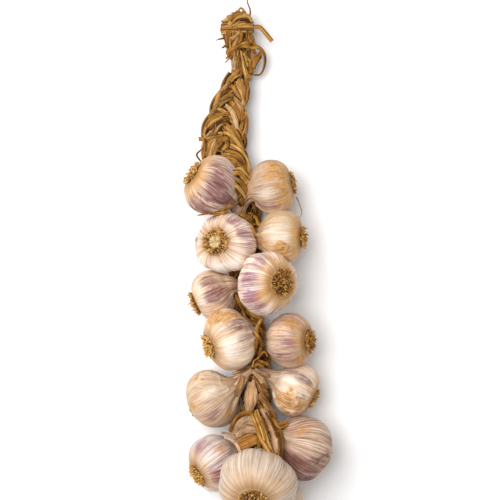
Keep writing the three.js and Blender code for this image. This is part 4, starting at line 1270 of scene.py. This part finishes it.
# %% Draped leaves
# points, widths at the start, middle and end, how light, how dull, how far each end dips
PLAIT_LEAVES = [
    # the first is a near-black leaf, its light below zero: painted shadow under the arched leaf over the knot
    ([(-13.6, 206.7), (-6.3, 207.8), (.9, 206.4)], (2, 2.6, 2), -.6, 0, 0, 0),
    ([(-18.5, 206.5), (-15.4, 211.2), (-12.2, 214.2)], (4, 3.4, 2.4), .4, 0, .5, 0),
    ([(-19, 203.5), (-13.6, 209.2), (-6.3, 211.8), (-.9, 210.6), (1.8, 206.2)], (4.5, 4, 3), .8, .1, .3, .5),
    ([(-17.5, 206), (-12.7, 211.6), (-6.3, 213.6)], (2, 2.2, 1.6), .5, 0, .3, .5),
    ([(-19, 198.1), (-19, 190), (-18.1, 181.8)], (4, 4.5, 3), .45, .2, 1, 0),
    ([(-21.7, 197.2), (-20.8, 189.1), (-19.9, 182.7)], (3, 3, 2), .3, 0, 1, 1),
    ([(-9, 197.2), (-12.7, 192.7), (-17.2, 190.9)], (3, 4.5, 4), .6, .5, 1, 1),
    ([(-7.2, 196.3), (-9, 189.1), (-15.4, 184.5)], (3, 3.5, 3), .4, 0, 1, 1),
    ([(-10.9, 191.8), (-13.6, 186.3), (-16.3, 181.8)], (3, 3.5, 3), .5, .3, 1, 1),
    ([(0, 195.4), (2.7, 190.9), (3.6, 185.4)], (3, 4, 3), .3, 0, 1, .5),
    ([(-1.8, 198.1), (-1.8, 191.8), (1.8, 186.3)], (3, 4, 3), .25, 0, 1, 1),
    ([(-9, 185.4), (-15.4, 180.9), (-20.8, 177.3)], (3, 5, 7), .5, 0, 1, 0),
    ([(-15.4, 179.1), (-17.2, 175.5), (-18.1, 172.8)], (4, 5, 4), .4, 0, 1, 0),
    ([(-17.2, 174.6), (-19.9, 171.9), (-22.6, 169.2)], (1.5, 1.2, .8), .5, 0, 0, 0),
    ([(-13.6, 179.1), (-13.6, 171.9), (-14.5, 163.7)], (3, 4.5, 4), .65, .8, 1.5, 1),
    ([(-10.9, 180), (-10.9, 170.1), (-9, 160.1)], (2.5, 3.5, 3), .4, 0, 1.5, 1),
    ([(2.7, 182.7), (5.4, 175.5), (3.6, 164.6)], (3, 3.5, 3), .25, 0, 1, 1),
    ([(-1.8, 180.9), (1.8, 171.9), (1.8, 159.2)], (3, 4, 3.5), .3, 0, 1.5, 1),
    ([(-4.5, 180), (-.9, 171.9), (.9, 161)], (2.5, 3, 3), .45, 0, 1.5, 1),
    ([(-8.1, 180), (-6.3, 170.1), (-2.7, 155.6)], (2.5, 4, 4.5), .65, .1, 1.5, 1),
    ([(-6.3, 177.3), (-2.7, 173.7), (.9, 171)], (1.4, 1.6, 1.2), .8, 0, .5, 0),
    ([(-5.4, 179.1), (-3.6, 171.9), (-1.8, 165.5)], (1.5, 2, 1.5), .7, 0, 1, .5),
    ([(10, 180), (6.3, 173.7), (2.7, 165.5)], (3, 3.6, 3), .4, 0, .5, .5),
    ([(-6.3, 184.5), (0, 183.6), (7.2, 183.6)], (3, 3, 2.5), .65, 0, 1, .5),
    ([(-10, 163.7), (-14.5, 158.3), (-19, 152)], (3.5, 4.5, 4), .5, 0, 1, 1),
    ([(-9, 159.2), (-13.6, 156.5), (-17.2, 152.9)], (2, 2.5, 2.5), .75, 0, .6, .5),
    ([(-18.5, 150), (-24, 145.5), (-28, 139.3), (-29.3, 130.3)], (4, 6.5, 5.5), .5, .2, 1.5, 1.5),
    ([(-19.6, 151.1), (-24.6, 144.7), (-27.6, 135.7)], (3, 4, 3), .6, .3, 1, 1),
    ([(-17.2, 146.5), (-23.5, 142.9), (-26.2, 137.5)], (2.5, 3, 2.5), .2, 0, 1, 1),
    ([(-15.4, 141.1), (-21.7, 138.4), (-27.1, 133.9)], (4, 5, 4), .45, 0, 1, 1),
    ([(-10, 152.9), (-6.3, 143.8), (-5.4, 131.2)], (7, 9, 6), .62, .3, 1.5, 1.5),
    ([(-12.7, 150.2), (-9, 142.9), (-6.3, 134.8)], (3, 3.5, 3), .7, .3, 1, 1),
    ([(-2.7, 155.6), (-1.8, 146.5), (-2.7, 135.7)], (3, 4, 4), .3, 0, 1, 1.5),
    ([(-16.3, 149.3), (-13.6, 143.8), (-9, 137.5)], (3, 4, 3), .5, 0, 1, 1),
    ([(-14.5, 137.5), (-9, 130.3), (-6.3, 121.2)], (4, 5.5, 4), .6, .6, 1, 1.5),
    ([(-17.2, 136.6), (-25, 132.6), (-31.6, 127), (-36.6, 119.4)], (2.5, 4, 3.5), .45, -.8, 1, 1),
    ([(-29.3, 132.1), (-33.6, 125.7), (-36.6, 119.4)], (3, 3.5, 3), .4, -.4, 1, 1),
    ([(-28.9, 127.5), (-22.6, 124.8), (-17.2, 119.4)], (2.5, 4, 3), .7, .1, 1, 1),
    ([(-22.6, 131.2), (-17.2, 126.6), (-13.6, 119.4), (-11.8, 108.6)], (3.5, 5.2, 4), .95, .7, 1, 1.2),
    ([(-7.2, 127.5), (-6.3, 119.4), (-8.1, 108.6)], (3.5, 4.5, 3.5), .35, 0, 1, 1),
    ([(-4.5, 124.8), (-3.6, 114), (-7.2, 101.3)], (2, 2.5, 2), .5, 0, .5, .5),
    ([(-19.9, 123), (-29.9, 121.2), (-38, 114), (-42.5, 103.1)], (3.5, 4.5, 4), .3, 0, 1, 1.5),
    ([(-19.9, 119.4), (-27.1, 115.8), (-33.5, 106.7)], (4, 5, 4), .2, 0, 1, 1),
    ([(-24.4, 120.3), (-32.6, 116.7), (-38.9, 110.4)], (2.5, 3.5, 2.5), .8, .1, 1, .6),
    ([(-39.8, 111.3), (-41.6, 105.8), (-39.8, 100.4)], (2.5, 3, 2), .65, .3, .6, .6),
    ([(-21.7, 114.9), (-27.1, 112.2), (-31.7, 104.9)], (2.5, 3, 2.5), .4, .7, .6, .6),
    ([(-16.3, 111.3), (-10.9, 102.2), (-6.3, 90.5)], (4, 5, 4), .45, 0, 1, 1),
    ([(-21.7, 111.3), (-16.3, 104.9), (-10, 96.8)], (2.5, 4, 2.5), .7, -.5, 1, 1),
    ([(-28.9, 105.8), (-19.9, 104.9), (-11.8, 97.7), (-6.3, 88.6)], (2.5, 4, 3.5), .75, .1, 1, 1),
    ([(-25.3, 103.1), (-37.1, 100.4), (-46.1, 100.4)], (3, 3.5, 4), .5, 0, 1, 0),
    ([(-25.3, 100.4), (-33.5, 94.1), (-37, 81.4)], (9, 12, 9), .75, .15, 1.5, 1),
    ([(-28.9, 101.3), (-34.4, 92.3), (-35.3, 81.4)], (3, 4, 3), .6, .5, 1, 1),
    ([(-21.7, 101.3), (-20.8, 95), (-25.3, 89.6)], (4, 5, 3.5), .45, 0, 1, 1),
    ([(-40.7, 100.4), (-40.7, 91.4), (-42.5, 81.4)], (2.5, 3, 2.5), .45, 0, 1, .5),
    ([(-42.5, 91.4), (-47.9, 85.9), (-44.3, 79.6)], (1.5, 1.8, 1.5), .35, 0, .3, .3),
    ([(-4.5, 129.4), (-1.8, 118.5), (-2.7, 105.8), (-7.2, 99.5)], (1, 1.1, .8), .6, 0, 0, 0),
    ([(-14.5, 53), (-9.5, 46), (-7, 40)], (5, 6, 5), .25, 0, 1, 1),
    ([(-15.5, 60), (-9, 54), (-3.5, 46.5)], (3.5, 4.5, 4), .7, 0, 1, 1),
    ([(-16, 65), (-8, 60.5), (-2, 52)], (4, 6, 5), .5, 0, 1, 1),
    ([(-26, 84.5), (-14.5, 82), (-7, 74), (-4.5, 65.5)], (8, 11.5, 9), .55, 0, 1.5, 2),
    ([(-23, 89.5), (-12.5, 87.5), (-4.5, 79), (-2, 67)], (3, 4.5, 3.5), .4, 0, .6, 1.5),
    ([(-17.5, 95.5), (-9, 90.5), (-2.5, 82), (-.5, 68)], (3, 4, 3.5), .8, .1, .6, 1.5),
    ([(-16.5, 68), (-9, 68.5), (-1.5, 60)], (5, 7.5, 6), .6, 0, 1, 1),
    ([(-15.5, 71.5), (-8.5, 72), (-1, 64.5)], (2, 2.8, 2.2), .85, .1, .5, .5),
]
LOWER_LEAVES = [
    ([(-8.1, -36.7), (-4.5, -47.5), (1.8, -56.4)], (4, 5, 4), .45, .2, 1, 1),
    ([(-12.5, -41.2), (-7.2, -50.1), (-3.6, -60.9)], (3, 4, 3), .3, 0, 1, 1),
    ([(-1.8, -51.9), (4.5, -57.3), (11.6, -61.8)], (4, 5, 4), .5, 0, 1, 1),
    ([(0, -60.9), (7.2, -68.1), (10.7, -77)], (5, 6, 5), .35, 0, 1, 1),
    ([(10.7, -60.9), (6.3, -68.9), (5.4, -80.6)], (3, 4, 3), .55, 0, 1, 1),
    ([(3.6, -71.6), (8.1, -78.8), (10.7, -86)], (3, 4, 3), .45, 0, 1, 1),
    ([(5.4, -80.6), (3.6, -89.5), (.9, -100.3)], (4, 5, 4), .35, 0, 1, .5),
    ([(9.8, -86), (8.1, -94.9), (4.5, -103.9)], (3, 4, 3), .3, 0, 1, .5),
    ([(1.8, -105.7), (6.3, -102.1), (12.5, -103.9)], (4, 5, 4), .6, 0, .6, 0),
    ([(7.2, -98.5), (11.6, -100.3), (16.1, -103)], (3, 3, 2.6), .5, 0, .6, 0),
    ([(8.1, -95.8), (12.5, -91.3), (16.1, -95.8)], (3, 3, 2.4), .3, 0, .6, 0),
    ([(1.8, -103.9), (3.6, -98.5), (8.1, -95.8)], (1.3, 1.3, 1.2), .95, .2, 0, 0),
    ([(1.8, -106.6), (-5.4, -110.1), (-14.3, -113.7)], (4, 5, 4), .85, .8, .6, .3),
    ([(1.8, -107.5), (-4, -113), (-11, -122)], (7, 10, 9), .9, .9, .6, 1),
    ([(-3.6, -105.7), (-9, -108.3), (-16.1, -111)], (2, 2.5, 2), .6, .5, .5, 0),
    ([(2.7, -108.3), (9, -114.6), (14.3, -122.7)], (5, 7, 5), .9, .7, .6, 1),
    ([(4.5, -106.6), (10.7, -110.1), (17.9, -113.7)], (3, 4, 3), .8, .7, .6, 1),
    ([(1.8, -112.8), (6.3, -120), (12.5, -131.6)], (4, 5, 4), .15, 1.8, .6, .4),
    ([(10.7, -120), (13.4, -125.4), (16.1, -130.7)], (4, 5, 4), .3, .4, .6, .4),
    ([(7.2, -129.8), (13.4, -139.7), (21.5, -152.2)], (9, 12, 10), .35, .55, 1, 1),
    ([(5.4, -133.4), (9, -137.9), (11.6, -143.3)], (3, 4, 3), .2, 0, 1, .5),
    ([(-6, -112), (-8.5, -120), (-12.5, -131)], (4, 6, 4), .5, .6, 1, 1),
    ([(1.5, -117.5), (1.2, -130), (-1.2, -146)], (7, 13, 8), .78, .75, 1, .6),
    ([(17, -145.1), (23.3, -155.8), (27.8, -168.3), (26, -181.8)], (4, 5.5, 5), .25, 0, 1, 1.5),
    ([(19.7, -150.4), (26, -156.7), (33.1, -154.9)], (3, 4, 4), .45, 0, .6, 0),
    ([(9, -154.5), (-3, -153.5), (-10, -158.5), (-13, -165)], (8, 11, 8), .95, .95, 1, .8),
    ([(9, -161.5), (-3.6, -161.5), (-10.7, -167)], (6, 8, 6), .8, .9, 1, .8),
    ([(11.6, -142.4), (17, -153.1), (21.5, -164.8), (22.4, -179.1)], (6, 8, 7), .62, .9, 3, 4),
    ([(5.4, -143.3), (9.8, -154), (14.3, -165.7), (18.8, -178.2)], (3.5, 4.5, 4), .7, 0, 3, 4),
    ([(.9, -145.1), (5.4, -155.8), (9.8, -167.4), (17, -177.3)], (3.5, 4.5, 4), .6, 0, 3, 4),
    ([(14.3, -145.1), (19.7, -154.9), (24.2, -166.5)], (1.8, 2.2, 2), .2, 0, .6, 1),
    ([(3.6, -145.1), (8.1, -154.9), (12.5, -167.4)], (1.6, 2, 1.8), .8, 0, .6, 1),
    ([(1.8, -145.1), (-6.3, -146), (-13.4, -152.2), (-17.9, -163)], (3, 4, 3.5), .3, 0, .6, .6),
    ([(-22.5, -165.5), (-15, -168), (-10.5, -173), (-7.5, -180)], (2.4, 3.2, 2.6), .95, .95, .4, 1),
    ([(-25.1, -162.1), (-17.9, -163), (-11.6, -166.5)], (2, 2.5, 2), .6, .5, .4, .4),
    ([(-17.5, 40), (-26, 35.5), (-33, 31)], (6, 6.5, 4), .75, .3, 0, .3),
    ([(-20, 35), (-27, 32.5), (-34, 33.5)], (3, 3.5, 2.2), .6, 0, 0, .3),
    ([(-31, 32.5), (-38, 32), (-46.5, 31)], (2.4, 1.8, 1.2), .35, 0, 0, 0),
    ([(-9, 32.6), (-1.8, 28.9), (5.4, 21.7)], (4, 6, 5), .5, 0, 1, 1),
    ([(-5.4, 25.3), (0, 21.7), (5.4, 12.7)], (3, 4, 4), .65, 0, 1, 1),
    ([(-1.8, 33.5), (4.5, 29.9), (8.1, 21.7)], (3, 4, 3), .4, 0, 1, 1),
]


def drape_all(name, rows):
    """Drapes a table of leaves, each over the ones before it, and builds them as one piece."""
    skin = Skin()
    for number, (points, wide, light, dull, start, end) in enumerate(rows):
        drape(skin, points, wide, 700 + number, light, dull, (start, end))
    skin.build(name, dried_leaf, "loose_leaf")


drape_all("leaves_on_plait", PLAIT_LEAVES)
# the lower leaves lie over the bulbs' necks too, from this far out on each
NECK_STARTS = dict.fromkeys(BULBS, 1.4) | {"bulb_first_left": 1.7, "bulb_second_right": 1.7}
for name, bulb in bulbs.items():
    phi, place = bulb.grid()
    relief.add(bulb.point(phi, place)[bulb.read_out(place) > NECK_STARTS[name]])
drape_all("leaves_between_bulbs", LOWER_LEAVES)

# %% [markdown]
# Torn fibres stand off the leaves everywhere: thin tubes, draped in the same way but not pressed
# down. Each wanders from a place drawn near the middle of the plait or the bundle. A few longer
# root hairs hang from the bulbs, and those are listed one by one.

# %% Fibres
FIBRES, UPPER = 90, 70                       # fibres in all, and on the braid's upper part
PLAIT_TOP = 150                              # height where the bundle takes over, mm
UPPER_PART, LOWER_PART = (40, 208), (-180, 30)      # heights along the braid, mm
FIBRE_STRAY, FIBRE_STRIDE, FIBRE_BEND = 8, (3, 7), 0.7      # mm, mm, radians
FIBRE_RADIUS, LOWEST_FIBRE = (0.16, 0.34), 3      # mm
FIBRE_STEPS, FIBRE_SIDES = 18, 5
HAIRS = [  # points, radius: a long root hair on the first right bulb, and stray ones elsewhere
    ([[42, 48, 22], [45.5, 40, 17], [47, 33, 14], [44, 28.5, 12], [41.5, 26, 11]], .45),
    ([[-51, -207, 14], [-46, -213, 9], [-40, -219, 4], [-35, -222, 1.2]], .35),
    ([[-52, -196, 10], [-55, -201, 6], [-52, -207, 2]], .3),
    ([[47, 20, 20], [50, 15, 15], [47, 8, 12], [43, 3, 12]], .28),
]
HAIR_STEPS, HAIR_SIDES = 30, 6


def middle_at(y):
    """The middle x of the plait, or above it of the bundle, at height y along the braid."""
    if y >= PLAIT_TOP:
        return bundle_at(y)[0]
    line = np.array(PLAIT_LINE)[::-1]
    return np.interp(y, line[:, 1], line[:, 0])


fibres = Skin()
draw = np.random.default_rng(5)
for number in range(FIBRES):
    y = draw.uniform(*(UPPER_PART if number < UPPER else LOWER_PART))
    points = [np.array([middle_at(y) + draw.normal(0, FIBRE_STRAY), y])]
    heading = draw.uniform(-0.9, 0.9) - np.pi / 2
    for step in range(3):
        heading += draw.uniform(-FIBRE_BEND, FIBRE_BEND)
        stride = draw.uniform(*FIBRE_STRIDE)
        points.append(points[-1] + stride * np.array([np.cos(heading), np.sin(heading)]))
    line = smooth_line([(px, py, 0) for px, py in points], FIBRE_STEPS)
    height = relief.over(line[:, :2])
    if height.min() < LOWEST_FIBRE:  # it would hang over the braid's edge
        continue
    t = np.linspace(0, 1, FIBRE_STEPS)
    line[:, 2] = level(height, 3) + 0.3 + t ** 2 * draw.uniform(0, 2.0)
    radius = draw.uniform(*FIBRE_RADIUS) * (1 - 0.6 * t)
    looks = stalk_looks(FIBRE_STEPS, FIBRE_SIDES, 0.3, 15, number, draw.uniform(0.2, 1.1))
    fibres.add(tube_rings(line, radius, FIBRE_SIDES), **looks)
for number, (points, thick) in enumerate(HAIRS):
    line = smooth_line(points, HAIR_STEPS)
    fibres.add(tube_rings(line, np.linspace(thick, thick * 0.5, HAIR_STEPS), HAIR_SIDES),
               **stalk_looks(HAIR_STEPS, HAIR_SIDES, 0.3, 25, number, 0.7))
fibres.build("torn_fibres", dried_leaf, "loose_leaf")

# %% [markdown]
# ## Torn skin
# Here and there the outermost skin has come loose. Such a flake is a thin sheet that follows the
# bulb's own surface a fraction of a millimetre above it, with a ragged outline and an edge that
# curls up. It takes the bulb's own material, with a stain of its own.

# %% Flakes of skin
FLAKES = {  # bulb: middle x, y, size along and round in mm, curl in mm, stain
    "bulb_first_left": [(-48, 40, 14, 14, .9, "purple")],
    "bulb_first_right": [(32, 62, 14, 16, .7, "tan"), (17, 48, 8, 8, .4, "pale")],
    "bulb_second_right": [(27, 1, 9, 14, .8, "tan")],
    "bulb_fourth_left": [(-25, -61, 10, 13, .7, "tan")],
    "bulb_fourth_right": [(50, -92, 8, 9, .6, "tan")],
    "bulb_fifth_left": [(-36, -117, 20, 24, 1.0, "pale")],
    "bulb_fifth_right": [(35, -133, 15, 16, .6, "tan")],
    "bulb_sixth_right": [(66, -189, 15, 14, 2.4, "purple")],
}
FLAKE_RINGS, FLAKE_ROUND, FLAKE_THICK = 16, 64, 0.2
FLAKE_REACH = (0.12, 1.9)                    # a flake keeps off the root plate and the neck's tip
RAGGED = ((2, 0.16), (3, 0.12), (5, 0.08), (9, 0.05))      # waves round the rim, and their sizes


def flake(skin, bulb, x, y, along, round_, curl, kind, seed):
    """A sheet over the bulb, built as rings from its middle out to the rim and back underneath.
    The rim is an ellipse times 1 plus four waves round it, and it lifts by curl × s⁴, where s goes
    from 0 in the middle to 1 at the rim."""
    phi0, place0 = bulb.nearest(x, y)
    s, a = np.meshgrid(np.linspace(0.04, 1, FLAKE_RINGS), angles(FLAKE_ROUND), indexing="ij")
    late = np.random.default_rng(seed).uniform(*ANY_ANGLE, 5)
    rim = 1 + sum(size * np.cos(waves * a + phase) for (waves, size), phase in zip(RAGGED, late))
    out = bulb.read_out(place0) + s * rim * np.cos(a) * along / bulb.radius / 2
    place = bulb.place_of(np.clip(out, *FLAKE_REACH))
    share = np.interp(place, PLACES, bulb.share)
    phi = phi0 + s * rim * np.sin(a) * round_ / 2 / (bulb.radius * share)
    lift = 0.3 + curl * s ** 4 * (0.25 + 0.75 * np.cos(a / 2 + late[4]) ** 2)
    top, under = bulb.point(phi, place, lift), bulb.point(phi, place, lift - FLAKE_THICK)
    looks = skin_looks(bulb, phi, place)
    mark = looks["stain"][..., KINDS.index(kind)]
    np.maximum(mark, 0.2 + 0.25 * s ** 3, out=mark)
    both = lambda face: np.concatenate([face, face[::-1]])
    skin.add(np.concatenate([top, under[::-1]]), **{key: both(look) for key, look in looks.items()})


for name, rows in FLAKES.items():
    skin = Skin()
    for number, row in enumerate(rows):
        flake(skin, bulbs[name], *row, 31 * number + bulbs[name].seed)
    skin.build(name.replace("bulb", "flakes"), skins[name], SLOTS[name], sharp=80)

# %% [markdown]
# ## Light, floor and camera
# The braid lies on a plain white floor. A broad soft light from the upper left gives the gentle
# shadow on the right, and a white world fills in the rest. The camera looks straight down from
# 1.6 m, which keeps the perspective mild. The colours are shown as they are, without the film
# curve that Blender adds by default, so that white stays white.

# %% Stage
FLOOR = 3.0                                  # half the floor's size, m
floor_mesh = bpy.data.meshes.new("floor")
corners = [(-FLOOR, -FLOOR, 0), (FLOOR, -FLOOR, 0), (FLOOR, FLOOR, 0), (-FLOOR, FLOOR, 0)]
floor_mesh.from_pydata(corners, [], [(0, 1, 2, 3)])
floor = bpy.data.objects.new("floor", floor_mesh)
bpy.context.scene.collection.objects.link(floor)
paper = Paint("white floor")
speckle = paper.noise(paper.node("ShaderNodeTexCoord", output=3), (40, 40, 40))
white = paper.mix(speckle, "fafafb", "fcfcfc")
floor_mesh.materials.append(paper.finish(white, 0.9, speckle, 0.00001))

world = bpy.data.worlds.new("studio")
bpy.context.scene.world = world
world.use_nodes = True
sky = world.node_tree.nodes["Background"]
sky.inputs["Color"].default_value = (1.0, 1.0, 1.0, 1)
sky.inputs["Strength"].default_value = 0.55

window = bpy.data.lights.new("window", "AREA")
window.size, window.energy = 1.6, 42.0       # m, W
lamp = bpy.data.objects.new("window", window)
lamp.location = (-0.77, 0.45, 1.7)           # m
lamp.rotation_euler = (-lamp.location).to_track_quat("-Z", "Y").to_euler()
bpy.context.scene.collection.objects.link(lamp)
print(f"one lamp of {window.energy} W, {window.size:.1f} m wide")

# %% Camera and view
EYE, BULB_LEVEL, SEEN = 1.6, 0.03, 0.45      # m: camera's height, the bulbs', and the width seen there
camera = bpy.data.cameras.new("camera")
camera.sensor_width = 36.0
camera.lens = camera.sensor_width * (EYE - BULB_LEVEL) / SEEN
eye = bpy.data.objects.new("camera", camera)
eye.location = (SHIFT[0] * MM, SHIFT[1] * MM, EYE)
bpy.context.scene.collection.objects.link(eye)
bpy.context.scene.camera = eye
bpy.context.scene.view_settings.view_transform = "Standard"
